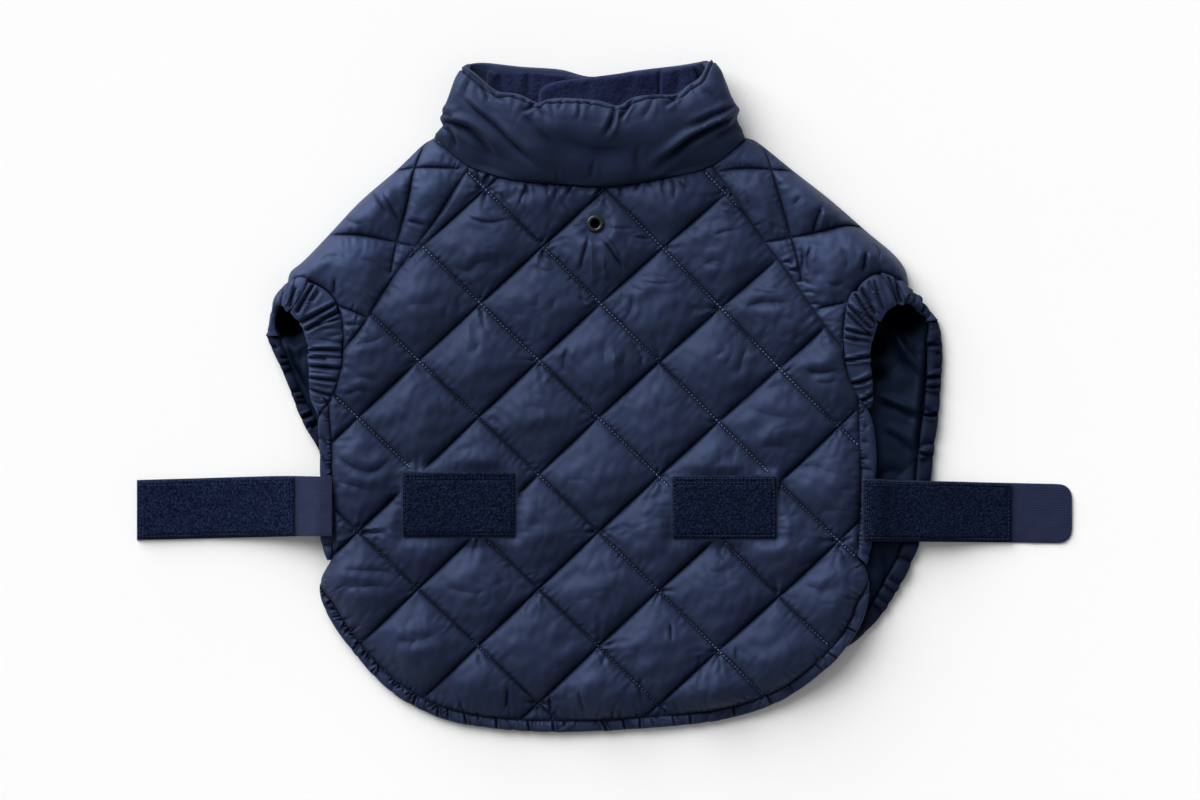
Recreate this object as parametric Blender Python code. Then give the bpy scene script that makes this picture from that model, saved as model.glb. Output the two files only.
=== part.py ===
"""Quilted winter coat for a small dog, laid flat with its back panel up.

The coat lies on its belly panel: +Z is up, +Y runs from the hem to the collar and +X to the coat's right.
Outlines are read off a pattern sheet ruled in small squares, across to the right and down to the hem.
"""
import functools
import math

import bmesh
import bpy
import numpy as np
from mathutils import Vector
from mathutils.geometry import delaunay_2d_cdt

# Driving dimensions, in metres
BACK_LENGTH = 0.338          # neck seam to hem, along the middle of the back
BACK_LENGTH_SQUARES = 545.0  # the same length on the pattern sheet
SEAM_GAP = 0.0003            # clear gap between two sewn pieces
BELLY_WALL = 0.0055          # padded belly panel at its seams
BELLY_LOFT = 0.0014          # how far its quilted diamonds rise
BACK_CLEAR = 0.0080          # underside of the back panel above the table
BACK_WALL = 0.0052           # padded back panel at its stitch lines
BACK_LOFT = 0.0058           # how far its quilted diamonds rise
SLEEVE_LIFT = 0.0060         # how far the cuffs hold the layers apart
SLEEVE_REACH = 0.045         # and how far round them that lift fades
DRAPE_RUN = 0.026            # width in which the back panel falls from the belly panel to the table
PUFF_RADIUS = 0.024          # a quilted diamond reaches its full height this far from a stitch line
FOLD_RADIUS = 0.009          # roll of the shoulder where it turns under
FOLD_EDGE = 0.0035           # height at which the roll's outermost line lies
BAND_WALL = 0.0055           # gathered cuffs and bindings
HEM_BAND_WIDTH = 0.0068
BELLY_BAND_WIDTH = 0.0095
COLLAR_WALL_NECK = 0.0055
COLLAR_WALL_RIM = 0.0070
FLEECE_WALL = 0.0023
FLAP_WALL = 0.0030
WEBBING_WALL = 0.0014
PATCH_WALL = 0.0020
PAD_LEVEL = 0.0170           # the back panel is pressed flat to this height under the pads
EYELET_LEVEL = 0.0160        # and to this height round the eyelet
EYELET_RADIUS = 0.0053
EYELET_HOLE = 0.0028
EYELET_BARREL = 0.0033
EYELET_RISE = 0.0012
QUILT_PITCH = (0.0372, 0.03535)   # half a diamond across and along the coat

SQUARE = BACK_LENGTH / BACK_LENGTH_SQUARES
SHEET_CENTRE = (604.4, 396.19)    # the squares over the origin
QUILT_CROSSING = (598.3, 417.6)   # where two stitch lines of the back panel cross
BELLY_CROSSING = (870.0, 380.0)   # and two of the belly panel

# Outline tables: (across, down) in squares of the pattern sheet
NECK_SEAM = [(434, 138.5), (448, 150.5), (459, 159.5), (470, 167), (490, 174), (515, 180.5), (550, 184),
             (605, 186.5), (650, 181), (690, 173), (711, 166), (728, 155), (745, 138)]
NECK_CORNER_LEFT = 3      # rows of the neck seam where the raglan seams meet it
NECK_CORNER_RIGHT = 10
NECK_UNDER = [(434, 138.5), (460, 151), (520, 162), (600, 165), (680, 161), (722, 150), (745, 138)]
RAGLAN_LEFT = [(470, 167), (455, 189), (431, 226), (405, 261), (381, 296), (363, 326), (344, 350)]
RAGLAN_RIGHT = [(711, 166), (735, 199), (761, 238), (785, 270), (808, 304), (826, 329), (842.5, 350)]
FOLD_LEFT = [(434, 138.5), (422, 146), (397, 170), (360, 202), (330, 234), (305, 260), (291, 272), (287.5, 285)]
FOLD_RIGHT = [(745, 138), (758, 143), (793, 171), (830, 200), (868, 233), (893, 254), (905, 270), (908.5, 286)]
CUFF_SEAM_LEFT = [(287.5, 285), (296, 279.5), (309, 280.5), (327, 290), (338, 304.5), (342.5, 325), (344, 350)]
CUFF_SEAM_RIGHT = [(908.5, 286), (894, 278), (880, 273.5), (868, 279), (855, 290), (847, 305), (843, 325),
                   (842.5, 350)]
CUFF_PANEL_LEFT = [(344, 350), (342, 365), (336, 387), (329, 404)]
CUFF_PANEL_RIGHT = [(842.5, 350), (845, 368), (851, 385), (857.5, 397)]
SIDE_SEAM_LEFT = [(329, 404), (330.5, 425), (332, 460), (333.5, 505), (334.5, 540), (331, 561)]
SIDE_SEAM_RIGHT = [(857.5, 397), (859, 430), (860.5, 480), (858.5, 530), (857.5, 558)]
SIDE_EDGE_LEFT = [(319, 416), (318.5, 432), (320, 452), (320.5, 500), (320.5, 536), (324, 550), (328, 561)]
SIDE_EDGE_RIGHT = [(866, 408), (872, 425), (876, 455), (874.5, 490), (872, 541), (869, 555), (866, 566)]
HEM_EDGE = [(331, 561), (322.5, 576), (320, 592), (327, 613), (345, 641), (375, 677), (405, 701), (450, 721),
            (510, 730), (570, 731.8), (640, 728.5), (720, 720), (780, 701), (825, 669), (848, 644), (862, 620),
            (869, 592), (866, 570), (857.5, 558)]
BELLY_EDGE = [(938.5, 321.5), (941, 335), (942.5, 355), (941, 385), (938.5, 415), (934.5, 444), (932, 470),
              (928, 505), (920, 541), (909, 568), (898, 589), (883, 613), (866, 631), (845, 647), (805, 663),
              (740, 676), (660, 681), (560, 679), (480, 668), (415, 645), (370, 610), (343, 565), (331, 520),
              (326, 486)]
BELLY_LEFT = [(326, 486), (320.5, 452), (311, 434), (303, 420.5), (313, 414), (303, 395), (293, 370),
              (284.5, 347), (290, 341)]
BELLY_SLEEVE_LEFT = [(290, 341), (298, 318), (305, 292), (317, 273), (342, 248), (372, 216), (411, 184), (458, 156)]
BELLY_SLEEVE_RIGHT = [(722, 154), (782, 186), (819, 215), (857, 248), (880, 268), (890, 288), (902, 312),
                      (922, 330)]
BELLY_EDGE_LEFT = [(326, 486), (320.5, 452), (311, 434), (302, 419), (286, 384), (268.5, 342), (266, 336)]
CUFF_TIPS = [(266, 336), (937, 316)]   # where the cuffs meet the belly panel's bands

# Stitch lines of the shoulders, (across, down) in squares
STITCHES_LEFT = [
    [(426, 142), (420, 155), (413, 176), (408, 202), (400, 232), (394, 256), (391, 272)],
    [(401, 170.5), (415, 168), (440, 168), (458, 169)],
    [(332, 235), (360, 235.5), (385, 240), (412, 246)],
    [(341, 307), (352, 311), (364, 316)],
]
STITCHES_RIGHT = [
    [(763, 150), (771, 170), (779, 195), (787, 225), (793, 248), (798, 270), (801, 286)],
    [(719, 171), (740, 169), (772, 170), (790, 171)],
    [(766, 243), (790, 238), (815, 233), (835, 228), (858, 227)],
    [(820, 308), (832, 305), (842, 304)],
]

# Cuffs: each row is the seam edge (across, down, height in mm) and the free edge of one section
CUFF_LEFT = [
    ((325, 408, 13.0), (316, 408, 12.5)),
    ((331, 399, 14.0), (311, 398, 13.0)),
    ((337.5, 382, 16.0), (309, 380, 14.5)),
    ((342.5, 362, 17.5), (309.5, 361, 16.0)),
    ((343, 338, 18.0), (307.5, 340, 17.0)),
    ((341, 317, 18.5), (303, 328, 17.5)),
    ((332, 297.5, 18.5), (297, 318.5, 17.5)),
    ((317, 285, 18.0), (289, 310, 17.0)),
    ((303, 280.5, 17.0), (282, 307, 16.0)),
    ((292, 283, 14.0), (277.5, 304, 13.0)),
    ((287, 290, 8.5), (274, 308, 8.5)),
    ((289, 298, 3.6), (270.5, 316, 4.5)),
    ((292, 312, 2.9), (267.5, 326, 3.2)),
    ((290, 331, 2.9), (266, 334.5, 2.9)),
]
CUFF_RIGHT = [
    ((864, 403, 13.0), (872, 405, 12.5)),
    ((854, 388, 14.5), (872, 392, 13.5)),
    ((846, 369, 16.5), (871, 373, 15.0)),
    ((843.7, 346, 17.5), (871, 349, 16.5)),
    ((844.5, 323, 18.5), (875.5, 331, 17.0)),
    ((849, 304, 18.5), (881, 320, 17.5)),
    ((858, 289.5, 18.5), (887.5, 311, 17.5)),
    ((870, 280, 18.0), (895, 308, 17.5)),
    ((882, 275.5, 17.5), (904, 306, 16.5)),
    ((896, 280.5, 14.5), (912, 306, 14.5)),
    ((909, 288, 8.5), (917, 308.5, 11.0)),
    ((920.5, 299, 4.6), (921, 312, 7.0)),
    ((928, 305.5, 3.4), (923, 315, 4.2)),
    ((935, 312.5, 2.9), (925, 318, 3.0)),
]
BELLY_BAND_LEFT = [
    ((283.5, 344, 2.8), (267, 338.5, 2.8)),
    ((292, 368.5, 2.8), (277, 363, 2.8)),
    ((302, 394, 2.8), (289, 389, 2.8)),
    ((312, 413, 2.8), (301.5, 417.5, 2.8)),
]

# Collar: the four sides of its front (upper) sheet and its back (lower) sheet
COLLAR_LIP = [(464, 65.5), (478, 76), (497, 92), (515, 94), (528, 99), (538, 104), (549, 100), (570, 99), (600, 102),
              (618, 106.5), (634, 98), (655, 95.5), (676, 95), (687, 86), (700, 78), (708, 60.5)]
COLLAR_BACK = [(464, 65.5), (483, 62.5), (520, 66.5), (560, 69.5), (593, 77), (640, 70), (680, 65), (708, 60.5)]
COLLAR_LEFT = [(434, 138.5), (444, 127.5), (442, 120), (446, 107), (455, 80), (464, 65.5)]
COLLAR_RIGHT = [(745, 138), (737, 119.5), (739, 111), (732, 99), (722, 75), (708, 60.5)]
COLLAR_HEIGHT = [  # (share of the way from neck seam to rim, height of the upper sheet in mm)
    (0.00, 15.0), (0.12, 22.0), (0.30, 29.0), (0.55, 33.0), (0.80, 32.5), (1.00, 28.0),
]
FLEECE_LINING = [(489, 72), (520, 73), (560, 74.5), (600, 79), (648, 76), (648, 134), (489, 134)]
FLEECE_FLAP = [(539, 134), (538.5, 98), (540, 90.5), (546, 86), (560, 82.5), (593, 79), (640, 73.5), (659, 71.5),
               (659, 134)]

# Straps: (across, edge towards the collar, edge towards the hem, height of the underside in mm)
STRAP_LEFT = [
    (332.5, 476.5, 535.5, 16.0), (326, 476.3, 535.6, 15.8), (318, 476.2, 535.8, 14.6), (306, 476, 535.9, 11.0),
    (292, 475.8, 536.2, 7.2), (272, 476, 536.8, 3.8), (248, 476.7, 537.4, 1.6), (222, 477.5, 538, 0.4),
    (200, 478.2, 538.5, 0.0), (170, 479, 539.3, 0.0), (137, 480, 540, 0.0),
]
STRAP_RIGHT = [
    (862, 479, 541, 16.0), (872, 479, 541, 15.9), (881, 479.2, 541, 14.4), (890, 479.6, 541.1, 11.6),
    (902, 480.1, 541.3, 8.9), (915, 480.5, 541.5, 7.4), (930, 480.9, 541.6, 6.7), (944, 481.2, 541.8, 5.6),
    (960, 481.6, 542, 3.6), (980, 482.2, 542.2, 1.5), (1000, 482.7, 542.4, 0.4), (1015, 483, 542.5, 0.0),
    (1040, 483.6, 542.8, 0.0), (1057, 484, 543, 0.0),
]
SLEEVE_CENTRES = [(325, 340), (855, 340)]
STRAP_TAB = [(1064, 485.2, 541.8, 0.0), (1069.5, 489.5, 537.5, 0.0), (1071.8, 496, 531, 0.0)]
PATCH_LEFT_REACH = (137.8, 294.5)
PATCH_RIGHT_REACH = (863, 1011)
PATCH_MARGIN = 1.2                                  # squares left free along a strap's edges
PADS = {"pad_left": ((403.5, 472.5), (514.5, 536)), "pad_right": ((672.5, 476.5), (775, 537.5))}
EYELET_CENTRE = (595.2, 224)


def place(points):
    """Points of the pattern sheet, in metres on the table."""
    sheet = np.array([(point[0], point[1]) for point in points], float)
    return np.stack([(sheet[:, 0] - SHEET_CENTRE[0]) * SQUARE, (SHEET_CENTRE[1] - sheet[:, 1]) * SQUARE], axis=1)


def smooth(rows, segments, first=0, last=None):
    """A smooth curve through the rows (any number of columns), read at equal steps from one row to another."""
    rows = np.array(rows, float)
    last = len(rows) - 1 if last is None else last
    padded = np.vstack([2 * rows[0] - rows[1], rows, 2 * rows[-1] - rows[-2]])
    fine = []
    spans = zip(padded[first:last], padded[first + 1:], padded[first + 2:], padded[first + 3:])
    for before, start, end, after in spans:
        for t in np.linspace(0, 1, 12, endpoint=False):
            fine.append(0.5 * (2 * start + (end - before) * t + (2 * before - 5 * start + 4 * end - after) * t ** 2
                               + (3 * start - before - 3 * end + after) * t ** 3))
    fine = np.vstack([fine, rows[last:last + 1]])
    return resample(fine, segments)


def resample(line, segments):
    length = np.concatenate([[0], np.cumsum(np.linalg.norm(np.diff(line, axis=0), axis=1))])
    stations = np.linspace(0, length[-1], segments + 1)
    return np.stack([np.interp(stations, length, line[:, i]) for i in range(line.shape[1])], axis=1)


def curve(table, segments, first=0, last=None):
    return smooth(place(table), segments, first, last)


def distance(points, line):
    """Distance of each point to a polyline."""
    points = np.atleast_2d(points)
    nearest = np.full(len(points), 1e9)
    for a, b in zip(line, line[1:]):
        along = np.clip((points - a) @ (b - a) / max(float((b - a) @ (b - a)), 1e-18), 0, 1)
        nearest = np.minimum(nearest, np.linalg.norm(points - a - along[:, None] * (b - a), axis=1))
    return nearest


def inside(points, loop):
    """Whether each point lies inside a closed outline."""
    points = np.atleast_2d(points)
    result = np.zeros(len(points), bool)
    for a, b in zip(loop, np.roll(loop, -1, axis=0)):
        if a[1] == b[1]:
            continue
        crosses = (a[1] > points[:, 1]) != (b[1] > points[:, 1])
        result ^= crosses & (points[:, 0] < (b[0] - a[0]) * (points[:, 1] - a[1]) / (b[1] - a[1]) + a[0])
    return result


def anticlockwise(loop):
    x, y = loop[:, 0], loop[:, 1]
    area = np.sum(x * np.roll(y, -1) - np.roll(x, -1) * y)
    return loop if area > 0 else loop[::-1]


def inset(loop, depth):
    """The outline moved inwards; the loop runs anticlockwise."""
    back = loop - np.roll(loop, 1, axis=0)
    ahead = np.roll(loop, -1, axis=0) - loop
    back /= np.linalg.norm(back, axis=1)[:, None]
    ahead /= np.linalg.norm(ahead, axis=1)[:, None]
    normal = np.stack([-(back + ahead)[:, 1], (back + ahead)[:, 0]], axis=1)
    normal /= np.linalg.norm(normal, axis=1)[:, None]
    spread = np.clip(np.abs(-normal[:, 0] * back[:, 1] + normal[:, 1] * back[:, 0]), 0.6, 1)
    return loop + normal * (depth / spread)[:, None]


def inner_ring(loop, depth):
    """The outline moved inwards, without the points that a narrow corner would fold over."""
    ring = inset(loop, depth)
    clear = distance(ring, np.vstack([loop, loop[:1]])) > 0.9 * depth
    return ring[inside(ring, loop) & clear]


def joined(*curves):
    """One closed outline from curves that run on from each other."""
    points = [curves[0][0]]
    for part in curves:
        for point in part:
            if np.linalg.norm(point - points[-1]) > 0.0004:
                points.append(point)
    if np.linalg.norm(points[0] - points[-1]) < 0.0004:
        points.pop()
    return anticlockwise(np.array(points))


def ease(value):
    value = np.clip(value, 0, 1)
    return value * value * (3 - 2 * value)


def quarter_round(value):
    """Height of a quarter circle, from 0 at its edge to 1 at its crown."""
    return np.sqrt(1 - (1 - np.clip(value, 0, 1)) ** 2)


def quilt_distance(points, crossing):
    """Distance to the nearest stitch line of the diamond quilting."""
    origin = place([crossing])[0]
    across = (points[:, 0] - origin[0]) / QUILT_PITCH[0]
    along = (points[:, 1] - origin[1]) / QUILT_PITCH[1]
    spacing = 2 * QUILT_PITCH[0] * QUILT_PITCH[1] / math.hypot(*QUILT_PITCH)
    nearest = np.full(len(points), 1e9)
    for phase in (across + along, across - along):
        nearest = np.minimum(nearest, np.abs(phase / 2 - np.round(phase / 2)) * spacing)
    return nearest


def quilt_lines(loop, crossing, steps):
    """The stitch lines of the diamond quilting that lie inside an outline, as runs of points."""
    origin = place([crossing])[0]
    share = np.arange(-18 * steps, 18 * steps + 1) / steps
    runs = []
    for slope in (1, -1):
        for offset in range(-16, 17, 2):
            line = origin + np.column_stack([share * QUILT_PITCH[0], (offset - slope * share) * QUILT_PITCH[1]])
            runs += split(line, clear_inside(line, loop, 0.0035))
    return runs


def clear_inside(points, loop, clear):
    return inside(points, loop) & (distance(points, np.vstack([loop, loop[:1]])) > clear)


def split(line, kept):
    """The stretches of a line whose points are kept."""
    runs = []
    run = []
    for point, keep in zip(list(line) + [line[-1]], list(kept) + [False]):
        if keep:
            run.append(point)
        elif len(run) > 1:
            runs.append(np.array(run))
            run = []
        else:
            run = []
    return runs


@functools.cache
def belly_outline():
    """The outer edge of everything that lies in the belly layer."""
    return joined(curve(BELLY_EDGE, 60), curve(BELLY_EDGE_LEFT, 14),
                  curve(CUFF_TIPS[:1] + BELLY_SLEEVE_LEFT[1:], 20), curve(BELLY_SLEEVE_RIGHT[:-1] + CUFF_TIPS[1:], 20))


def back_underside(points):
    """Height of the upper layer's underside: on the belly panel, and down to the table beyond it."""
    belly = belly_outline()
    beyond = np.where(inside(points, belly), 0, distance(points, np.vstack([belly, belly[:1]])))
    reaches = [np.linalg.norm(points - cuff, axis=1) / SLEEVE_REACH for cuff in place(SLEEVE_CENTRES)]
    lift = sum(np.exp(-reach ** 2) for reach in reaches)
    return BACK_CLEAR * (1 - ease(beyond / DRAPE_RUN)) + SLEEVE_LIFT * lift


def pressed(points, height):
    """The back panel's height, flattened under the pads and round the eyelet."""
    for near, far in PADS.values():
        low, high = place([(near[0], far[1]), (far[0], near[1])])
        outside = np.maximum(np.maximum(low - points, points - high), 0)
        share = 1 - ease((np.linalg.norm(outside, axis=1) - 0.0012) / 0.009)
        height = height + (PAD_LEVEL - height) * share
    reach = np.linalg.norm(points - place([EYELET_CENTRE])[0], axis=1)
    share = 1 - ease((reach - EYELET_RADIUS - 0.0008) / 0.009)
    return height + (EYELET_LEVEL - height) * share


def new_object(name, vertices, faces, look, angle=50):
    mesh = bpy.data.meshes.new(name)
    mesh.from_pydata([tuple(map(float, vertex)) for vertex in vertices], [], faces)
    fixer = bmesh.new()
    fixer.from_mesh(mesh)
    bmesh.ops.recalc_face_normals(fixer, faces=fixer.faces)
    fixer.to_mesh(mesh)
    fixer.free()
    mesh.shade_smooth()
    mesh.set_sharp_from_angle(angle=math.radians(angle))
    mesh.materials.append(material(name, *look))
    piece = bpy.data.objects.new(name, mesh)
    bpy.context.scene.collection.objects.link(piece)
    return piece


def material(name, colour, roughness, metallic=0.0):
    look = bpy.data.materials.new(name)
    look.use_nodes = True
    shader = look.node_tree.nodes["Principled BSDF"]
    shader.inputs["Base Color"].default_value = (*colour, 1)
    shader.inputs["Roughness"].default_value = roughness
    shader.inputs["Metallic"].default_value = metallic
    return look


SHELL = ((0.030, 0.040, 0.095), 0.42)
LINING = ((0.010, 0.012, 0.028), 0.50)
FLEECE = ((0.014, 0.016, 0.052), 0.95)
HOOK = ((0.008, 0.012, 0.040), 0.95)
WEBBING = ((0.018, 0.022, 0.058), 0.75)
METAL = ((0.020, 0.022, 0.022), 0.30, 0.9)


def triangulated(loop, runs, spots, hole=None):
    """A flat net of triangles inside an outline, with edges along the given runs of points."""
    points = [Vector(point) for point in loop]
    edges = [(i, (i + 1) % len(loop)) for i in range(len(loop))]
    for run, closed in runs:
        first = len(points)
        points += [Vector(point) for point in run]
        edges += [(first + i, first + i + 1) for i in range(len(run) - 1)]
        if closed:
            edges.append((len(points) - 1, first))
    points += [Vector(point) for point in spots]
    net_points, _, faces, origins, _, _ = delaunay_2d_cdt(points, edges, [], 0, 1e-7)
    net = np.array([(point.x, point.y) for point in net_points])
    rim = {}
    for index, sources in enumerate(origins):
        for source in sources:
            rim[source] = index
    kept = []
    for face in faces:
        middle = net[list(face)].mean(axis=0)
        if inside(middle, loop)[0] and not (hole is not None and inside(middle, hole)[0]):
            kept.append(tuple(face))
    return net, kept, rim


def grid_spots(loop, spacing, clear, keep_off=()):
    """A plain grid of points inside an outline, clear of its edge and of the given lines."""
    low, high = loop.min(axis=0), loop.max(axis=0)
    across = np.arange(math.floor(low[0] / spacing), math.ceil(high[0] / spacing) + 1) * spacing
    along = np.arange(math.floor(low[1] / spacing), math.ceil(high[1] / spacing) + 1) * spacing
    spots = np.array([(x, y) for y in along for x in across])
    spots = spots[inside(spots, loop)]
    far = distance(spots, np.vstack([loop, loop[:1]])) > clear
    for line in keep_off:
        far &= distance(spots, line) > clear
    return spots[far]


def panel(name, loop, top, under, look, runs=(), spacing=0.012, rim_drop=0.0016, rim_width=0.0025,
          under_runs=(), under_spacing=0.03, hole=None):
    """A padded panel: a net of triangles at its upper heights, one at its lower heights, and its edge."""
    closed_runs = [(inner_ring(loop, rim_width), True)] if rim_width else []
    if hole is not None:
        closed_runs.append((hole, True))
    open_runs = [(run, False) for run in runs]
    lines = [np.vstack([run, run[:1]]) for run, _ in closed_runs] + list(runs)
    upper, upper_faces, upper_rim = triangulated(
        loop, closed_runs + open_runs, grid_spots(loop, spacing, spacing * 0.45, lines), hole)
    under_lines = [(run, False) for run in under_runs] + ([(hole, True)] if hole is not None else [])
    under_spots = grid_spots(loop, under_spacing, under_spacing * 0.4, [run for run, _ in under_lines])
    lower, lower_faces, lower_rim = triangulated(loop, under_lines, under_spots, hole)
    upper_heights = top(upper)
    for index in range(len(loop)):
        upper_heights[upper_rim[index]] -= rim_drop
    vertices = [(x, y, z) for (x, y), z in zip(upper, upper_heights)]
    vertices += [(x, y, z) for (x, y), z in zip(lower, under(lower))]
    shift = len(upper)
    faces = upper_faces + [tuple(shift + i for i in reversed(face)) for face in lower_faces]
    rims = [(range(len(loop)), upper_rim, lower_rim)]
    if hole is not None:
        first_upper = len(loop) + (len(closed_runs[0][0]) if rim_width else 0)
        first_lower = len(loop) + sum(len(run) for run in under_runs)
        pairs_upper = {i: upper_rim[first_upper + i] for i in range(len(hole))}
        pairs_lower = {i: lower_rim[first_lower + i] for i in range(len(hole))}
        rims.append((range(len(hole)), pairs_upper, pairs_lower))
    for order, above, below in rims:
        for i in order:
            j = (i + 1) % len(order)
            faces.append((above[i], above[j], shift + below[j], shift + below[i]))
    used = sorted({i for face in faces for i in face})
    renumber = {old: new for new, old in enumerate(used)}
    faces = [tuple(renumber[i] for i in face) for face in faces]
    return new_object(name, [vertices[i] for i in used], faces, look)


PADDED_SECTION = [(0.0, -0.3), (0.04, 0.6), (0.3, 1.15), (0.7, 1.15), (0.96, 0.6), (1.0, -0.3), (0.88, -1.0),
                  (0.12, -1.0)]
FLAT_SECTION = [(0.0, -1.0), (0.0, 1.0), (1.0, 1.0), (1.0, -1.0)]


def band(name, seam_edge, free_edge, wall, look, section=PADDED_SECTION, gathers=0, gather_depth=0.0, floor=0.0):
    """A strip between two edges in space, with a padded section and gathers across it."""
    seam_edge, free_edge = np.array(seam_edge), np.array(free_edge)
    middle = (seam_edge + free_edge) / 2
    tangent = np.gradient(middle, axis=0)
    across = free_edge - seam_edge
    normal = np.cross(tangent, across)
    normal /= np.linalg.norm(normal, axis=1)[:, None]
    if normal[0][2] < 0:
        normal = -normal
    vertices = []
    count = len(middle)
    for k in range(count):
        puff = 1 - gather_depth * (0.5 - 0.5 * math.cos(2 * math.pi * gathers * k / (count - 1)))
        for share, side in section:
            height = side * puff if side > 0 else side
            vertices.append(seam_edge[k] + across[k] * share + normal[k] * height * wall / 2)
    vertices = np.array(vertices)
    vertices[:, 2] = np.maximum(vertices[:, 2], floor)
    size = len(section)
    faces = [tuple(range(size)), tuple(range((count - 1) * size, count * size))]
    for k in range(count - 1):
        for i in range(size):
            j = (i + 1) % size
            faces.append((k * size + i, k * size + j, (k + 1) * size + j, (k + 1) * size + i))
    return new_object(name, vertices, faces, look)


def edges_from_rows(rows, segments):
    """Both edges of a band, in metres, from rows of (across, down, height in mm) pairs."""
    columns = [list(seam) + list(free) for seam, free in rows]
    columns = smooth(columns, segments)
    seam = np.column_stack([place(columns[:, 0:2]), columns[:, 2] / 1000])
    free = np.column_stack([place(columns[:, 3:5]), columns[:, 5] / 1000])
    return seam, free


def trimmed(seam, free):
    """Both edges of a band drawn in by half the seam gap, so that it clears its neighbours."""
    across = (free - seam) / np.linalg.norm(free - seam, axis=1)[:, None]
    return seam + across * SEAM_GAP, free - across * SEAM_GAP


def edge_loop(*names_and_curves):
    return inset(joined(*names_and_curves), SEAM_GAP / 2)


def make_back_panel():
    neck = curve(NECK_SEAM, 26, NECK_CORNER_LEFT, NECK_CORNER_RIGHT)
    hem = joined(curve(HEM_EDGE, 90))
    inner = inset(anticlockwise(hem), HEM_BAND_WIDTH + SEAM_GAP)
    hem_inner = hem_line(inner)
    loop = edge_loop(neck, curve(RAGLAN_RIGHT, 20), curve(CUFF_PANEL_RIGHT, 5), curve(SIDE_SEAM_RIGHT, 13),
                     hem_inner, curve(SIDE_SEAM_LEFT, 13)[::-1], curve(CUFF_PANEL_LEFT, 5)[::-1],
                     curve(RAGLAN_LEFT, 20)[::-1])
    edge = np.vstack([loop, loop[:1]])
    centre = place([EYELET_CENTRE])[0]
    turn = np.linspace(0, 2 * math.pi, 17)
    circle = np.stack([np.cos(turn), np.sin(turn)], axis=1)
    hole = centre + (EYELET_BARREL + SEAM_GAP) * circle[:-1]
    runs = clear_of_pads(quilt_lines(loop, QUILT_CROSSING, 3), centre)
    for near, far in PADS.values():
        corners = place([(near[0] - 1.5, near[1] - 1.5), (far[0] + 1.5, near[1] - 1.5),
                         (far[0] + 1.5, far[1] + 1.5), (near[0] - 1.5, far[1] + 1.5)])
        runs.append(resample(np.vstack([corners, corners[:1]]), 16))
    runs.append(centre + (EYELET_RADIUS + 0.0006) * circle)

    def top(points):
        reach = np.minimum(quilt_distance(points, QUILT_CROSSING), distance(points, edge))
        puff = BACK_LOFT * quarter_round(reach / PUFF_RADIUS)
        return pressed(points, back_underside(points) + BACK_WALL + puff)

    belly = inset(belly_outline(), -0.001)
    over_belly = split(belly, clear_inside(belly, loop, 0.002))
    return panel("back_panel", loop, top, back_underside, SHELL, runs, spacing=0.0125, under_runs=over_belly,
                 hole=hole)


def clear_of_pads(runs, centre):
    """Stitch lines broken where a pad or the eyelet covers them."""
    pieces = []
    for run in runs:
        kept = np.linalg.norm(run - centre, axis=1) > EYELET_RADIUS + 0.003
        for near, far in PADS.values():
            low, high = place([(near[0] - 5, far[1] + 5), (far[0] + 5, near[1] - 5)])
            kept &= ~np.all((run > low) & (run < high), axis=1)
        pieces += split(run, kept)
    return pieces


def nearest_station(line, square):
    return int(np.argmin(np.linalg.norm(line - place([square])[0], axis=1)))


def hem_line(inner):
    """The stitched line of the hem binding, from the coat's right side seam round to its left."""
    start = place([(857.5, 558)])[0]
    end = place([(331, 561)])[0]
    low = inner[inner[:, 1] < max(start[1], end[1]) - 0.002]
    order = np.argsort(np.arctan2(low[:, 1] - place([(600, 480)])[0][1], low[:, 0]))[::-1]
    low = low[order]
    return resample(np.vstack([start, low, end]), 70)


def make_shoulder(side, fold, raglan, cuff_seam, stitches):
    neck_part = curve(NECK_SEAM, 6, 0, NECK_CORNER_LEFT) if side == "left" else curve(NECK_SEAM, 6, NECK_CORNER_RIGHT)
    if side == "left":
        loop = edge_loop(neck_part, curve(raglan, 20), curve(cuff_seam, 14)[::-1], curve(fold, 26)[::-1])
    else:
        loop = edge_loop(neck_part, curve(fold, 26), curve(cuff_seam, 14), curve(raglan, 20)[::-1])
    fold_line = curve(fold, 40)
    seams = [curve(raglan, 24), curve(cuff_seam, 14), neck_part]
    runs = [curve(stitch, max(3, int(5 * len(stitch)))) for stitch in stitches]
    edge = np.vstack([loop, loop[:1]])
    runs = [run[inside(run, loop) & (distance(run, edge) > 0.0035)] for run in runs]
    runs = [run for run in runs if len(run) > 1]

    def top(points):
        reach = distance(points, seams[0])
        for line in seams[1:] + [curve(stitch, 24) for stitch in stitches]:
            reach = np.minimum(reach, distance(points, line))
        full = back_underside(points) + BACK_WALL + BACK_LOFT * quarter_round(reach / PUFF_RADIUS)
        roll = quarter_round(distance(points, fold_line) / FOLD_RADIUS)
        return FOLD_EDGE + 0.0016 + (full - FOLD_EDGE - 0.0016) * roll

    def under(points):
        return back_underside(points) * (distance(points, fold_line) > FOLD_RADIUS)

    rolls = [offset_inside(fold_line, loop, depth) for depth in (FOLD_RADIUS - 0.0006, FOLD_RADIUS + 0.0006)]
    return panel("shoulder_" + side, loop, top, under, SHELL, runs, spacing=0.010, under_runs=rolls,
                 under_spacing=0.02)


def offset_inside(line, loop, depth):
    """A line moved sideways into an outline, kept where it is clear of the outline's edge."""
    tangent = np.gradient(line, axis=0)
    tangent /= np.linalg.norm(tangent, axis=1)[:, None]
    normal = np.stack([-tangent[:, 1], tangent[:, 0]], axis=1)
    moved = line + normal * depth
    if not inside(moved[len(moved) // 2], loop)[0]:
        moved = line - normal * depth
    edge = np.vstack([loop, loop[:1]])
    return moved[inside(moved, loop) & (distance(moved, edge) > depth * 0.9)]


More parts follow.
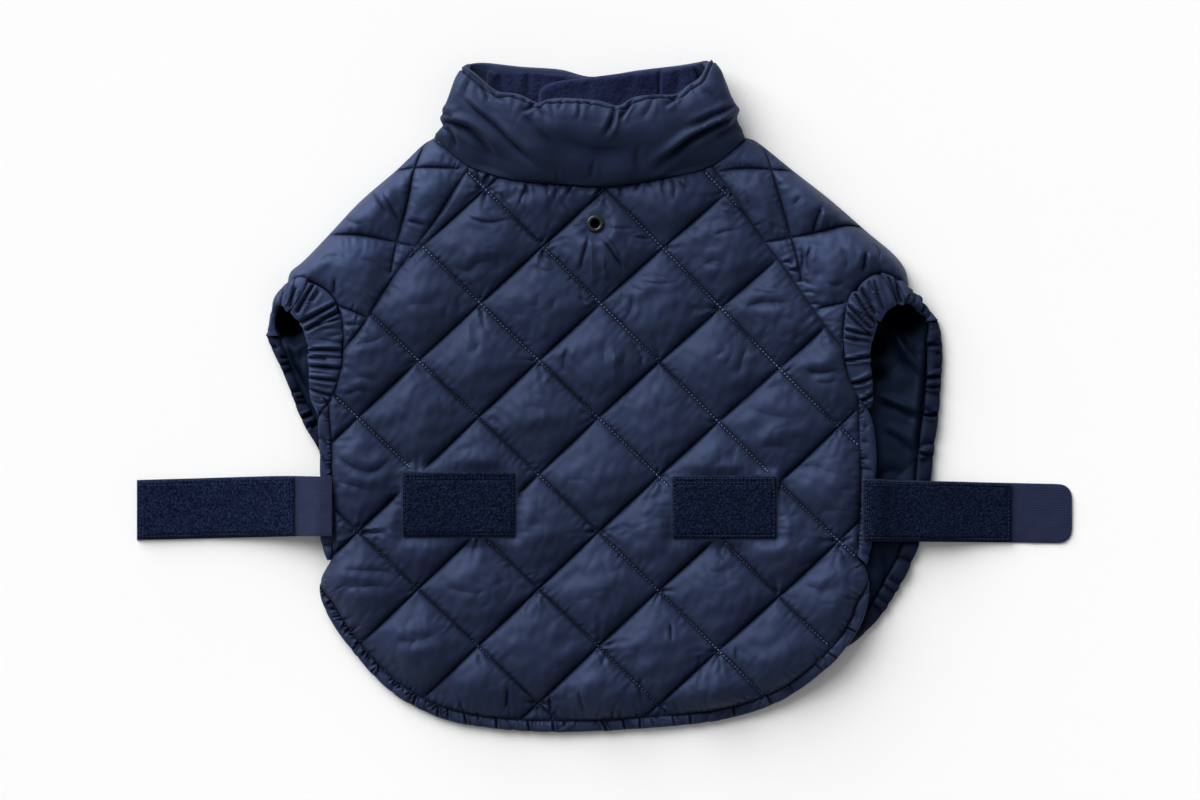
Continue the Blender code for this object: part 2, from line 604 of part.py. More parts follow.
def make_belly_panel():
    outer = curve(BELLY_EDGE, 44)
    tangent = np.gradient(outer, axis=0)
    tangent /= np.linalg.norm(tangent, axis=1)[:, None]
    inner = outer + np.stack([tangent[:, 1], -tangent[:, 0]], axis=1) * (BELLY_BAND_WIDTH + SEAM_GAP)
    neck = curve(NECK_UNDER, 24)
    neck = neck[nearest_station(neck, (458, 151)):nearest_station(neck, (722, 150)) + 1]
    neck = neck - np.array([0, SEAM_GAP])
    loop = edge_loop(neck, curve(BELLY_SLEEVE_RIGHT, 16), inner[1:], curve(BELLY_LEFT, 14),
                     curve(BELLY_SLEEVE_LEFT, 14))
    edge = np.vstack([loop, loop[:1]])

    def top(points):
        reach = np.minimum(quilt_distance(points, BELLY_CROSSING), distance(points, edge))
        return BELLY_WALL + BELLY_LOFT * quarter_round(reach / PUFF_RADIUS)

    def under(points):
        return np.zeros(len(points))

    runs = quilt_lines(loop, BELLY_CROSSING, 2)
    return panel("belly_panel", loop, top, under, LINING, runs, spacing=0.025, rim_drop=0.0008, under_spacing=0.05)


def make_belly_bands():
    outer = curve(BELLY_EDGE, 44)
    tangent = np.gradient(outer, axis=0)
    tangent /= np.linalg.norm(tangent, axis=1)[:, None]
    inner = outer + np.stack([tangent[:, 1], -tangent[:, 0]], axis=1) * BELLY_BAND_WIDTH
    height = np.full((len(outer), 1), BAND_WALL / 2)
    band("belly_band_right", np.hstack([inner, height]), np.hstack([outer, height]), BAND_WALL, SHELL,
         gathers=14, gather_depth=0.2)
    seam, free = edges_from_rows(BELLY_BAND_LEFT, 18)
    band("belly_band_left", *trimmed(seam, free), BAND_WALL, SHELL, gathers=6, gather_depth=0.25)


def make_hem_band():
    outer = curve(HEM_EDGE, 60)[4:-4]
    tangent = np.gradient(outer, axis=0)
    tangent /= np.linalg.norm(tangent, axis=1)[:, None]
    inner = outer + np.stack([-tangent[:, 1], tangent[:, 0]], axis=1) * HEM_BAND_WIDTH
    rest = back_underside((outer + inner) / 2)[:, None] + BAND_WALL / 2
    band("hem_band", np.hstack([inner, rest]), np.hstack([outer, rest]), BAND_WALL, SHELL, gathers=17, gather_depth=0.2)


def make_side_band(name, seam_table, edge_table):
    seam = resample(curve(seam_table, 40), 13)[1:]
    edge = resample(curve(edge_table, 40), 13)[1:]
    rest = back_underside((seam + edge) / 2)[:, None] + BAND_WALL / 2 + 0.0003
    seam, free = trimmed(np.hstack([seam, rest]), np.hstack([edge, rest]))
    band(name, seam, free, BAND_WALL, SHELL, gathers=6, gather_depth=0.12)


def collar_point(across, along, front):
    """A point of the collar's upper or lower sheet, in the plane, by its share across and along."""
    neck = COLLAR_CURVES["neck" if front else "neck_under"]
    rim = COLLAR_CURVES["lip" if front else "back"]
    left, right = COLLAR_CURVES["left"], COLLAR_CURVES["right"]

    def read(line, share):
        position = share * (len(line) - 1)
        low = min(int(position), len(line) - 2)
        return line[low] + (line[low + 1] - line[low]) * (position - low)

    ruled = read(neck, across) * (1 - along) + read(rim, across) * along
    left_bulge = read(left, along) - (neck[0] * (1 - along) + rim[0] * along)
    right_bulge = read(right, along) - (neck[-1] * (1 - along) + rim[-1] * along)
    return ruled + left_bulge * (1 - across) + right_bulge * across


COLLAR_CURVES = {}


def make_collar(stations=44, levels=6):
    COLLAR_CURVES.update(
        neck=curve(NECK_SEAM, 60) + np.array([0, SEAM_GAP]),
        neck_under=curve(NECK_UNDER, 60) + np.array([0, SEAM_GAP]),
        lip=curve(COLLAR_LIP, 90), back=curve(COLLAR_BACK, 60),
        left=curve(COLLAR_LEFT, 40), right=curve(COLLAR_RIGHT, 40))
    shares = [share for share, _ in COLLAR_HEIGHT]
    heights = [height / 1000 for _, height in COLLAR_HEIGHT]
    vertices = []
    for k in range(stations):
        turn = 2 * math.pi * k / stations
        front = math.sin(turn) >= 0
        lean = abs(math.sin(turn))
        for outer in (True, False):
            for level in (range(levels + 1) if outer else range(levels, -1, -1)):
                along = level / levels
                height = float(np.interp(along, shares, heights))
                wall = COLLAR_WALL_NECK + (COLLAR_WALL_RIM - COLLAR_WALL_NECK) * along
                half = height / 2 if outer else height / 2 - wall
                share = 0.5 - 0.5 * math.cos(turn) * (1.0 if outer else 0.93)
                if front:
                    z = height / 2 + half * lean ** 0.55
                else:
                    z = height / 2 - half * min(1.0, 1.5 * lean ** 0.7)
                x, y = collar_point(share, along, front)
                vertices.append((x, y, z))
    ring = 2 * (levels + 1)
    faces = []
    for k in range(stations):
        n = (k + 1) % stations
        for i in range(ring):
            j = (i + 1) % ring
            faces.append((k * ring + i, k * ring + j, n * ring + j, n * ring + i))
    return new_object("collar", vertices, faces, SHELL)


def make_fleece():
    base = COLLAR_WALL_RIM + SEAM_GAP
    lining = anticlockwise(resample(place(FLEECE_LINING + FLEECE_LINING[:1]), 48)[:-1])
    panel("collar_lining", lining, lambda p: np.full(len(p), base + FLEECE_WALL), lambda p: np.full(len(p), base),
          FLEECE, spacing=0.03, rim_drop=0.0006, rim_width=0.0012)
    top_edge = curve(FLEECE_FLAP[1:-1], 30)
    flap = anticlockwise(np.vstack([place(FLEECE_FLAP[:1]), top_edge, place(FLEECE_FLAP[-1:])]))
    lift = base + FLEECE_WALL + SEAM_GAP
    panel("collar_flap", flap, lambda p: np.full(len(p), lift + FLAP_WALL), lambda p: np.full(len(p), lift),
          FLEECE, spacing=0.03, rim_drop=0.0008, rim_width=0.0015)


def strap_edges(rows, lift, reach=None, margin=0.0):
    rows = smooth(rows, 28)
    if reach:
        rows = rows[(rows[:, 0] > min(reach)) & (rows[:, 0] < max(reach))]
    height = rows[:, 3:4] / 1000 + lift
    height[height < lift] = lift
    near = np.hstack([place(np.column_stack([rows[:, 0], rows[:, 1] + margin])), height])
    far = np.hstack([place(np.column_stack([rows[:, 0], rows[:, 2] - margin])), height])
    return near, far


def make_strap(side, rows, reach):
    band("strap_" + side, *strap_edges(rows, WEBBING_WALL / 2), WEBBING_WALL, WEBBING, section=FLAT_SECTION)
    lift = WEBBING_WALL + SEAM_GAP + PATCH_WALL / 2
    band("strap_patch_" + side, *strap_edges(rows, lift, reach, PATCH_MARGIN), PATCH_WALL, HOOK, section=FLAT_SECTION)


def make_pads():
    for name, (near, far) in PADS.items():
        corners = place([near, (far[0], near[1]), far, (near[0], far[1])])
        loop = anticlockwise(resample(np.vstack([corners, corners[:1]]), 24)[:-1])
        base = PAD_LEVEL + SEAM_GAP
        panel(name, loop, lambda p, z=base: np.full(len(p), z + PATCH_WALL), lambda p, z=base: np.full(len(p), z),
              HOOK, spacing=0.03, rim_drop=0.0, rim_width=0.0)


def make_eyelet():
    """A rolled ring on the panel with a short barrel down through it."""
    low = EYELET_LEVEL + SEAM_GAP
    profile = [
        (EYELET_BARREL, low), (EYELET_RADIUS - 0.0002, low), (EYELET_RADIUS, low + 0.4 * EYELET_RISE),
        (EYELET_RADIUS - 0.0007, low + 0.9 * EYELET_RISE), (0.5 * (EYELET_RADIUS + EYELET_HOLE), low + EYELET_RISE),
        (EYELET_HOLE + 0.0004, low + 0.85 * EYELET_RISE), (EYELET_HOLE, low + 0.4 * EYELET_RISE),
        (EYELET_HOLE, BACK_CLEAR + 0.0005), (EYELET_BARREL, BACK_CLEAR + 0.0005),
    ]
    centre = place([EYELET_CENTRE])[0]
    steps = 16
    vertices = []
    faces = []
    for k in range(steps):
        turn = 2 * math.pi * k / steps
        vertices += [(centre[0] + r * math.cos(turn), centre[1] + r * math.sin(turn), z) for r, z in profile]
        for i in range(len(profile)):
            j = (i + 1) % len(profile)
            n = (k + 1) % steps
            faces.append((k * len(profile) + i, n * len(profile) + i, n * len(profile) + j, k * len(profile) + j))
    new_object("eyelet", vertices, faces, METAL, angle=35)


def build():
    for item in list(bpy.data.objects):
        bpy.data.objects.remove(item, do_unlink=True)
    make_belly_panel()
    make_belly_bands()
    make_back_panel()
    make_hem_band()
    make_shoulder("left", FOLD_LEFT, RAGLAN_LEFT, CUFF_SEAM_LEFT, STITCHES_LEFT)
    make_shoulder("right", FOLD_RIGHT, RAGLAN_RIGHT, CUFF_SEAM_RIGHT, STITCHES_RIGHT)
    for name, rows in (("cuff_left", CUFF_LEFT), ("cuff_right", CUFF_RIGHT)):
        band(name, *trimmed(*edges_from_rows(rows, 36)), BAND_WALL, SHELL, gathers=12, gather_depth=0.25)
    make_side_band("side_band_left", SIDE_SEAM_LEFT, SIDE_EDGE_LEFT)
    make_side_band("side_band_right", SIDE_SEAM_RIGHT, SIDE_EDGE_RIGHT)
    make_collar()
    make_fleece()
    make_strap("left", STRAP_LEFT, PATCH_LEFT_REACH)
    make_strap("right", STRAP_RIGHT + STRAP_TAB, PATCH_RIGHT_REACH)
    make_pads()
    make_eyelet()


build()
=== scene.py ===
"""Looks of the quilted dog winter coat, laid flat with its back up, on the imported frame.

Everything is in metres in the frame's own axes: +X to the coat's right, +Y to the collar, +Z up.
Outlines are read off the same pattern sheet as the frame's pieces, ruled in small squares.
"""
import functools
import math

import bpy
import numpy as np
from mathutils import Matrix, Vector
from mathutils.geometry import delaunay_2d_cdt
from mathutils.kdtree import KDTree


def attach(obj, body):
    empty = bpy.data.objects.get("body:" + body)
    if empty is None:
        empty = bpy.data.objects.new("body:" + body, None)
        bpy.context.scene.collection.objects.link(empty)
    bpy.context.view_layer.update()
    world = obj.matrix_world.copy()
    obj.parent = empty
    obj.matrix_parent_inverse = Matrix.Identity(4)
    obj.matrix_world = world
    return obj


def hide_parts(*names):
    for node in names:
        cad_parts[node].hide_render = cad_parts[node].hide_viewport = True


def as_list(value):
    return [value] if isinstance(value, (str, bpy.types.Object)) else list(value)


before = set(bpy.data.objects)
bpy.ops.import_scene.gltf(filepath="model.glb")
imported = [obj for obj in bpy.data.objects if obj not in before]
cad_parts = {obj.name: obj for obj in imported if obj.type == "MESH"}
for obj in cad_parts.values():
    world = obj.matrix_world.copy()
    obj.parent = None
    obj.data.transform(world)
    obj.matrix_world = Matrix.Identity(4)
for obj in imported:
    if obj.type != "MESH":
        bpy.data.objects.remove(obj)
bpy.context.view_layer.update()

TINY = 1e-9
FAR = 1e9

# Driving dimensions, in metres
BACK_LENGTH = 0.338              # neck seam to hem
BACK_LENGTH_SQUARES = 545.0
SEAM_GAP = 0.0003
SEAM_SHOWS = 0.00006             # gap left between two sewn panels
BELLY_WALL = 0.0055
BELLY_HEM = 0.0010               # its edge, pressed flat where a band binds it
TUCKED_UNDER = 0.0012            # how far that edge goes under the band
BACK_CLEAR = 0.0080              # underside of the back panel above the table
SEAM_LEVEL = 0.0034              # stitch lines above that underside
BACK_LOFT = 0.0098               # how far the padding lifts the cloth between them
SLEEVE_LIFT = 0.0060
SLEEVE_REACH = 0.045
DRAPE_RUN = 0.026
FOLD_RADIUS = 0.010
FOLD_EDGE = 0.0045
BAND_WALL = 0.0055
BAND_ROLL = 0.0016               # the belly band's inner edge stands higher than its outer edge
HEM_BAND_WIDTH = 0.0068
BELLY_BAND_WIDTH = 0.0095
HEM_PLAIN = 0.012                # the flank's edge has no binding this far from the side seam
HEM_TAPER = 0.022                # and the binding widens over this length
PAD_LEVEL = 0.0170
PAD_SUNK = 0.0001
PAD_CLEAR = 0.0008
PRESSED_CLEAR = 0.0006           # the cloth is flat this far round a pad
PRESSED_RUN = 0.007              # and rises over this length
EYELET_LEVEL = 0.0160
EYELET_RADIUS = 0.0053
EYELET_HOLE = 0.0028
EYELET_BARREL = 0.0033
EYELET_RISE = 0.0012
EYELET_DIMPLE = 0.008
FLANGE_CLEAR = 0.0004
QUILT_PITCH = (0.0372, 0.03535)
QUILT_SIDE = math.hypot(*QUILT_PITCH)
QUILT_SPACING = 2 * QUILT_PITCH[0] * QUILT_PITCH[1] / QUILT_SIDE
QUILT_SAG = 0.0030               # how far the quilting sinks towards the coat's right side
QUILT_SAG_RUN = 0.086
QUILT_SLIP = 0.0045              # the quilting leans this far to the right near the collar
QUILT_SLIP_FROM = -0.014
QUILT_SLIP_RUN = 0.143
QUILT_DRAWN = (0.85, 0.40)       # how hard its falling and its rising lines draw the cloth up
SHADOW_REACH = 0.0032            # width of the painted shadow beside its rising lines
SHALLOW_FROM = 0.078             # above this height on the sheet that shadow is faint,
SHALLOW_RUN = 0.080              # and it deepens over this length below it
LINE_SHIFT = 0.137               # moves the gathers along each next line
SIDE_SHIFT = 0.071               # and on its far side
PUCKER_REACH = 0.0060
DRAWN_REACH = 0.0065
BACK_GATHERS = 0.0006
SHOULDER_GATHERS = 0.00045
SHOULDER_PUFF = 0.024
WRINKLE_DEPTH = 0.00050
WRINKLE_SCALE = 0.016
PLEAT_SPREAD = 0.5
OFF_TABLE = 0.0002
STITCH_PITCH = 0.0024
STITCH_LENGTH = 0.0018
STITCH_PULL = 0.00055            # how far a stitch pulls the cloth down at its ends
THREAD_RADIUS = 0.00038
THREAD_LIFT = 0.00025
THREAD_SIDES = 5
CAPSULE = [
    # a stitch from end to end: share of its length, thickness and sinking in radii
    (-0.5, 0.35, -1.3), (-0.32, 0.95, -0.3), (0, 1.0, 0.2), (0.32, 0.95, -0.3), (0.5, 0.35, -1.3),
]

# How the nets are made
MESH_STEP = 0.0023               # spacing of the points round an outline
LINE_STEP = 0.0024               # and along its stitched lines
BACK_SPACING = (0.0021, 0.0029, 0.0050) # points beside the lines, between them, and how far the first reach
SHOULDER_SPACING = (0.0019, 0.0028, 0.0052)
BELLY_SPACING = (0.0019, 0.0045, 0.001)
FLEECE_STEP = 0.0013
SPOT_ROOM = 0.0012
ROW_ROOM = 0.0005
SEWN_CLEAR = 0.0012              # stitched lines end this far from a panel's edge
FOLD_CLEAR = 0.0016              # and folds this far from stitched lines
CURVE_POINTS = 12
NOISE_WAVES = 14
SHELL_SHARP = 42

# How cloth settles on its padding: see relax
CALM = 0.25
BACK_CALM = 0.16
START_HUMPS = 0.0003
HUMP_SCALE = 0.009
PADDING_GRIP = 0.03
MOST_SLIDE = 0.0026

SHEET_SIZE = (1200, 800)
SQUARE = BACK_LENGTH / BACK_LENGTH_SQUARES
SHEET_CENTRE = (604.4, 396.19)
QUILT_CROSSING = (598.3, 417.6)
BELLY_CROSSING = (870.0, 380.0)

# Outline tables: (across, down) in squares of the pattern sheet
NECK_SEAM = [(434, 138.5), (448, 150.5), (459, 159.5), (470, 167), (490, 174), (515, 180.5), (550, 184),
             (605, 186.5), (650, 181), (690, 173), (711, 166), (728, 155), (745, 138)]
NECK_CORNER_LEFT = 3
NECK_CORNER_RIGHT = 10
NECK_UNDER = [(434, 138.5), (460, 151), (520, 162), (600, 165), (680, 161), (722, 150), (745, 138)]
RAGLAN_LEFT = [(470, 167), (455, 189), (431, 226), (405, 261), (381, 296), (363, 326), (344, 350)]
RAGLAN_RIGHT = [(711, 166), (735, 199), (761, 238), (785, 270), (808, 304), (826, 329), (842.5, 350)]
FOLD_LEFT = [
    (434, 138.5), (422, 146), (397, 170), (360, 202), (330, 234), (305, 260), (291, 272), (287.5, 285),
]
FOLD_RIGHT = [
    (745, 138), (758, 143), (793, 171), (830, 200), (868, 233), (893, 254), (905, 270), (908.5, 286),
]
CUFF_SEAM_LEFT = [
    (287.5, 285), (296, 279.5), (309, 280.5), (327, 290), (338, 304.5), (342.5, 325), (344, 350),
]
CUFF_SEAM_RIGHT = [(908.5, 286), (894, 278), (880, 273.5), (868, 279), (855, 290), (847, 305), (843, 325),
                   (842.5, 350)]
CUFF_PANEL_LEFT = [(344, 350), (342, 365), (336, 387), (329, 404)]
CUFF_PANEL_RIGHT = [(842.5, 350), (845, 368), (851, 385), (857.5, 397)]
SIDE_SEAM_LEFT = [(329, 404), (330.5, 425), (332, 460), (333.5, 505), (334.5, 540), (331, 561)]
SIDE_SEAM_RIGHT = [(857.5, 397), (859, 430), (860.5, 480), (858.5, 530), (857.5, 558)]
SIDE_EDGE_LEFT = [
    (327.5, 405), (320, 415), (318.5, 432), (320, 452), (320.5, 500), (320.5, 536), (324, 550), (328, 561),
]
SIDE_EDGE_RIGHT = [
    (859, 398), (867, 409), (872.5, 425), (876, 455), (874.5, 490), (872, 541), (869, 555), (866, 566),
]
HEM_EDGE = [
    (331, 561), (322.5, 576), (320, 592), (327, 613), (345, 641), (375, 677), (405, 701), (450, 721),
    (510, 730), (570, 731.8), (640, 728.5), (720, 720), (780, 701), (825, 669), (848, 644), (862, 620),
    (869, 592), (866, 570), (857.5, 558),
]
BELLY_EDGE = [
    (937.3, 319), (938.8, 325), (941, 335), (942.5, 355), (941, 385), (938.5, 415), (934.5, 444),
    (932, 470), (928, 505), (920, 541), (909, 568), (898, 589), (883, 613), (866, 631), (845, 647),
    (805, 663), (740, 676), (660, 681), (560, 679), (480, 668), (415, 645), (370, 610), (343, 565),
    (331, 520), (326, 486),
]
BELLY_LEFT = [(326, 486), (323, 455), (320.3, 439), (316, 425), (309, 412), (301.7, 398), (296.5, 387.5),
              (289.2, 371), (282.8, 354.3), (278.3, 344), (278.3, 336)]
BELLY_SLEEVE_LEFT = [
    (278.3, 336), (281.5, 332), (283.5, 322), (284, 311), (285.5, 300), (288.5, 291), (296.5, 285),
    (306, 284), (319, 272), (342, 248), (372, 216), (411, 184), (458, 156),
]
BELLY_SLEEVE_RIGHT = [
    (722, 154), (782, 186), (819, 215), (857, 248), (879, 268.5), (890, 281), (904, 288.5), (912, 299),
    (922, 310), (930, 318),
]
BELLY_EDGE_LEFT = [(326, 486), (320.5, 452), (311, 434), (302, 419), (286, 384), (268.5, 342), (266, 336)]
CUFF_TIPS = [(266, 336), (937, 316)]
SLEEVE_MOUTHS = [(294, 320), (900, 318)]
SLEEVE_CENTRES = [(325, 340), (855, 340)]

STITCHES_LEFT = [
    [(426, 142), (420, 155), (413, 176), (408, 202), (400, 232), (394, 256), (391, 272)],
    [(397, 171), (415, 168), (440, 168), (458, 169)],
    [(327, 235), (350, 235), (365, 236), (385, 240), (412, 246)],
    [(338, 306), (350, 310), (366, 317)],
]
STITCHES_RIGHT = [
    [(763, 149), (768, 160), (774, 180), (783, 210), (790, 235), (797, 260), (801, 280)],
    [(717, 172), (740, 169), (772, 170), (795, 172)],
    [(763, 243), (790, 238), (815, 233), (845, 226), (862, 228)],
    [(820, 308), (830, 305.5), (843, 303)],
]
PADS = {"pad_left": ((403.5, 472.5), (514.5, 536)), "pad_right": ((672.5, 476.5), (775, 537.5))}
HEM_TICKS_TO = (452, 700)
EYELET_CENTRE = (595.2, 224)


def place(points):
    """Points of the pattern sheet, in metres on the table."""
    sheet = np.array([(point[0], point[1]) for point in points], float)
    across, down = sheet[:, 0] - SHEET_CENTRE[0], sheet[:, 1] - SHEET_CENTRE[1]
    return np.stack([across * SQUARE, -down * SQUARE], axis=1)


def spot(point):
    """One point of the pattern sheet, in metres on the table."""
    return place([point])[0]


def travel(line):
    """How far along a line each of its points is."""
    return np.concatenate([[0], np.cumsum(np.linalg.norm(np.diff(line, axis=0), axis=1))])


def length_of(line):
    return float(np.linalg.norm(np.diff(line, axis=0), axis=1).sum())


def at(line, stations):
    """Points of a line at distances along it."""
    length = travel(line)
    return np.stack([np.interp(stations, length, line[:, k]) for k in range(line.shape[1])], axis=1)


def unit(rows):
    """The rows of an array, each made one long."""
    return rows / np.maximum(np.linalg.norm(rows, axis=-1), TINY)[..., None]


def falloff(gap, reach, power=1.5):
    """From 1 at a line down to nothing beyond a reach."""
    return np.exp(-(gap / reach) ** power)


def resample(line, segments):
    """The line as a number of equal steps."""
    return at(line, np.linspace(0, travel(line)[-1], segments + 1))


def smooth(rows, segments, first=0, last=None):
    """A smooth curve through the rows (any number of columns), in equal steps from one row to another."""
    rows = np.array(rows, float)
    last = len(rows) - 1 if last is None else last
    padded = np.vstack([2 * rows[0] - rows[1], rows, 2 * rows[-1] - rows[-2]])
    fine = []
    for before, start, end, after in zip(*(padded[first + k:last + k] for k in range(4))):
        for t in np.linspace(0, 1, CURVE_POINTS, endpoint=False):
            bend = 2 * before - 5 * start + 4 * end - after
            twist = 3 * start - before - 3 * end + after
            fine.append(0.5 * (2 * start + (end - before) * t + bend * t ** 2 + twist * t ** 3))
    return resample(np.vstack([fine, rows[last:last + 1]]), segments)


def curve(table, step=MESH_STEP, first=0, last=None):
    """The smooth line through a table's rows, with a point about every step."""
    rough = smooth(place(table), 60, first, last)
    return smooth(place(table), steps_along(rough, step), first, last)


def steps_along(line, step):
    return max(2, round(length_of(line) / step))


def spaced(line, step=MESH_STEP):
    return resample(line, steps_along(line, step))


def nearest(points, line):
    """For each point: its distance to a polyline, the line's direction there, the way along and the side."""
    gap = np.full(len(points), FAR)
    heading = np.zeros((len(points), 2))
    reach = np.zeros(len(points))
    side = np.ones(len(points))
    travelled = 0.0
    for a, b in zip(line, line[1:]):
        length = max(float(np.linalg.norm(b - a)), 1e-9)
        way = (b - a) / length
        along = np.clip((points - a) @ way, 0, length)
        off = points - a - along[:, None] * way
        far = np.linalg.norm(off, axis=1)
        closer = far < gap
        gap[closer] = far[closer]
        heading[closer] = way
        reach[closer] = travelled + along[closer]
        side[closer] = np.sign(way[0] * off[closer, 1] - way[1] * off[closer, 0])
        travelled += length
    return gap, heading, reach, side


def distance(points, line):
    return nearest(points, line)[0]


def closed(loop):
    return np.vstack([loop, loop[:1]])


def inside(points, loop):
    """Whether each point lies inside a closed outline."""
    points = np.atleast_2d(points)
    result = np.zeros(len(points), bool)
    for a, b in zip(loop, np.roll(loop, -1, axis=0)):
        if a[1] != b[1]:
            crosses = (a[1] > points[:, 1]) != (b[1] > points[:, 1])
            result ^= crosses & (points[:, 0] < (b[0] - a[0]) * (points[:, 1] - a[1]) / (b[1] - a[1]) + a[0])
    return result


def signed_area(loop):
    """Twice the area of an outline: positive where it runs anticlockwise."""
    x, y = loop[:, 0], loop[:, 1]
    return float(np.sum(x * np.roll(y, -1) - np.roll(x, -1) * y))


def anticlockwise(loop):
    return loop if signed_area(loop) > 0 else loop[::-1]


def inset(loop, depth):
    """The outline moved inwards; the loop runs anticlockwise."""
    back = unit(loop - np.roll(loop, 1, axis=0))
    ahead = unit(np.roll(loop, -1, axis=0) - loop)
    normal = unit(np.stack([-(back + ahead)[:, 1], (back + ahead)[:, 0]], axis=1))
    spread = np.clip(np.abs(-normal[:, 0] * back[:, 1] + normal[:, 1] * back[:, 0]), 0.6, 1)
    return loop + normal * (depth / spread)[:, None]


def joined(*curves):
    """One closed outline from curves that run on from each other."""
    near = MESH_STEP * 0.4
    points = [curves[0][0]]
    for point in np.vstack(curves):
        if np.linalg.norm(point - points[-1]) > near:
            points.append(point)
    if np.linalg.norm(points[0] - points[-1]) < near:
        points.pop()
    return anticlockwise(np.array(points))


def ease(value):
    """A smooth step from 0 to 1."""
    value = np.clip(value, 0, 1)
    return value * value * (3 - 2 * value)


def quarter_round(value):
    """The height of a quarter circle, from 0 at its foot to 1 at its top."""
    return np.sqrt(1 - (1 - np.clip(value, 0, 1)) ** 2)


def noise(points, scale, seed):
    """Smooth unevenness between about -1 and 1, with humps about as far apart as the scale."""
    random = np.random.default_rng(seed)
    total = np.zeros(len(points))
    for _ in range(NOISE_WAVES):
        heading = random.uniform(0, 2 * math.pi)
        pitch = scale * random.uniform(0.7, 1.6)
        along = points[:, 0] * math.cos(heading) + points[:, 1] * math.sin(heading)
        total += np.sin(2 * math.pi * along / pitch + random.uniform(0, 2 * math.pi))
    return total / math.sqrt(NOISE_WAVES)


def wrinkles(points, seed):
    """Soft unevenness of padded cloth, with shallow valleys that come and go."""
    valleys = falloff(noise(points, WRINKLE_SCALE, seed), 0.30, 2)
    valleys *= ease(0.3 + 0.8 * noise(points, 0.045, seed + 1))
    broad = 0.75 * noise(points, 0.85 * WRINKLE_SCALE, seed + 2)
    return WRINKLE_DEPTH * (broad + 0.35 * noise(points, 0.5 * WRINKLE_SCALE, seed + 3) - valleys)


# Shares of a fold's length over which it rises and fades
HAND_ENDS = (0.30, 0.35)
TUCK_ENDS = (0.04, 0.95)
BAND_ENDS = (0.10, 0.12)

# Short folds at stitched lines: how far apart, then ranges of their length, half width and depth
QUILT_TUCKS = (0.0055, (0.003, 0.010), (0.0006, 0.0009), (0.0003, 0.0008))
HEM_TUCKS = (0.0042, (0.005, 0.020), (0.0006, 0.0011), (0.0006, 0.0016))
NECK_TUCKS = (0.0036, (0.007, 0.022), (0.0008, 0.0014), (0.0009, 0.0022))
RAGLAN_TUCKS = (0.0080, (0.004, 0.012), (0.0006, 0.0011), (0.0004, 0.0011))
SHOULDER_TUCKS = (0.0090, (0.004, 0.012), (0.0006, 0.0011), (0.0004, 0.0011))
HEM_TICKS_LEFT = (0.0012, (0.0032, 0.0076), (0.00045, 0.0007), (0.0012, 0.0024))
HEM_TICKS = (0.0040, (0.0015, 0.0045), (0.0004, 0.0006), (0.0005, 0.0012))
SIDE_TICKS = (0.0030, (0.002, 0.005), (0.0004, 0.0006), (0.0008, 0.0018))
FAN_SIZES = ((0.010, 0.026), (0.0009, 0.0016), (0.0004, 0.0011))
FAN_OFTEN = 0.45                 # share of the quilting's corners from which folds spread
FAN_START = 0.0022


def folds_of(table, ends=HAND_ENDS):
    """Folds in metres from rows of (route in squares, half width in mm, depth in mm and any lean)."""
    return [(curve(np.reshape(route, (-1, 2)), LINE_STEP), width / 1000, depth / 1000, sum(lean), ends)
            for route, width, depth, *lean in table]


def bent_route(start, angle, bend, reach):
    """A slightly bent line from a point."""
    spots = [start]
    for step in (0.5, 1):
        way = np.array([math.cos(angle + bend * step), math.sin(angle + bend * step)])
        spots.append(start + way * reach * step)
    return spaced(np.array(spots), LINE_STEP / 2)


def fold_from(random, start, angle, length, width, depth):
    """A fold with its deep end at a point."""
    half_width = width[0] + (width[1] - width[0]) * random.random()
    route = bent_route(start, angle, random.normal(0, 0.22), random.uniform(*length))
    sunk = depth[0] + (depth[1] - depth[0]) * random.random()
    return route, half_width, sunk, random.choice([-0.5, 0, 0.5]), TUCK_ENDS


def tucks(lines, seed, kind):
    """Folds that start at stitched lines and run away from them at uneven places and angles."""
    every, *sizes = kind
    random = np.random.default_rng(seed)
    folds = []
    for line in lines:
        for _ in range(int(random.poisson(LINE_STEP * (len(line) - 1) / every))):
            start = int(random.integers(0, len(line) - 1))
            along = line[start + 1] - line[start]
            swing = random.choice([-1, 1]) * (math.pi / 2 + random.normal(0, 0.40))
            angle = math.atan2(along[1], along[0]) + swing
            folds.append(fold_from(random, line[start], angle, *sizes))
    return folds


def fans(corners, seed):
    """Folds that spread from the corners of the diamonds into them."""
    random = np.random.default_rng(seed)
    folds = []
    for corner in corners:
        for quarter in range(4):
            if random.random() > FAN_OFTEN:
                continue
            middle = quarter * math.pi / 2 + random.normal(0, 0.15)
            count = int(random.integers(2, 5))
            for turn in np.linspace(-0.5, 0.5, count) * random.uniform(0.7, 1.3):
                angle = middle + turn + random.normal(0, 0.07)
                start = corner + FAN_START * np.array([math.cos(middle), math.sin(middle)])
                folds.append(fold_from(random, start, angle, *FAN_SIZES))
    return folds


def near_folds(points, folds):
    """For each fold that reaches any points: which ones, their gap in half widths, their side and fade."""
    for route, width, depth, lean, ends in folds:
        margin = 6 * width
        near = np.all((points > route.min(axis=0) - margin) & (points < route.max(axis=0) + margin), axis=1)
        if near.any():
            gap, _, reach, side = nearest(points[near], route)
            share = reach / length_of(route)
            fade = ease(share / ends[0]) * ease((1 - share) / ends[1])
            yield near, gap / (width * (0.8 + 0.4 * share)), side, fade, depth, lean


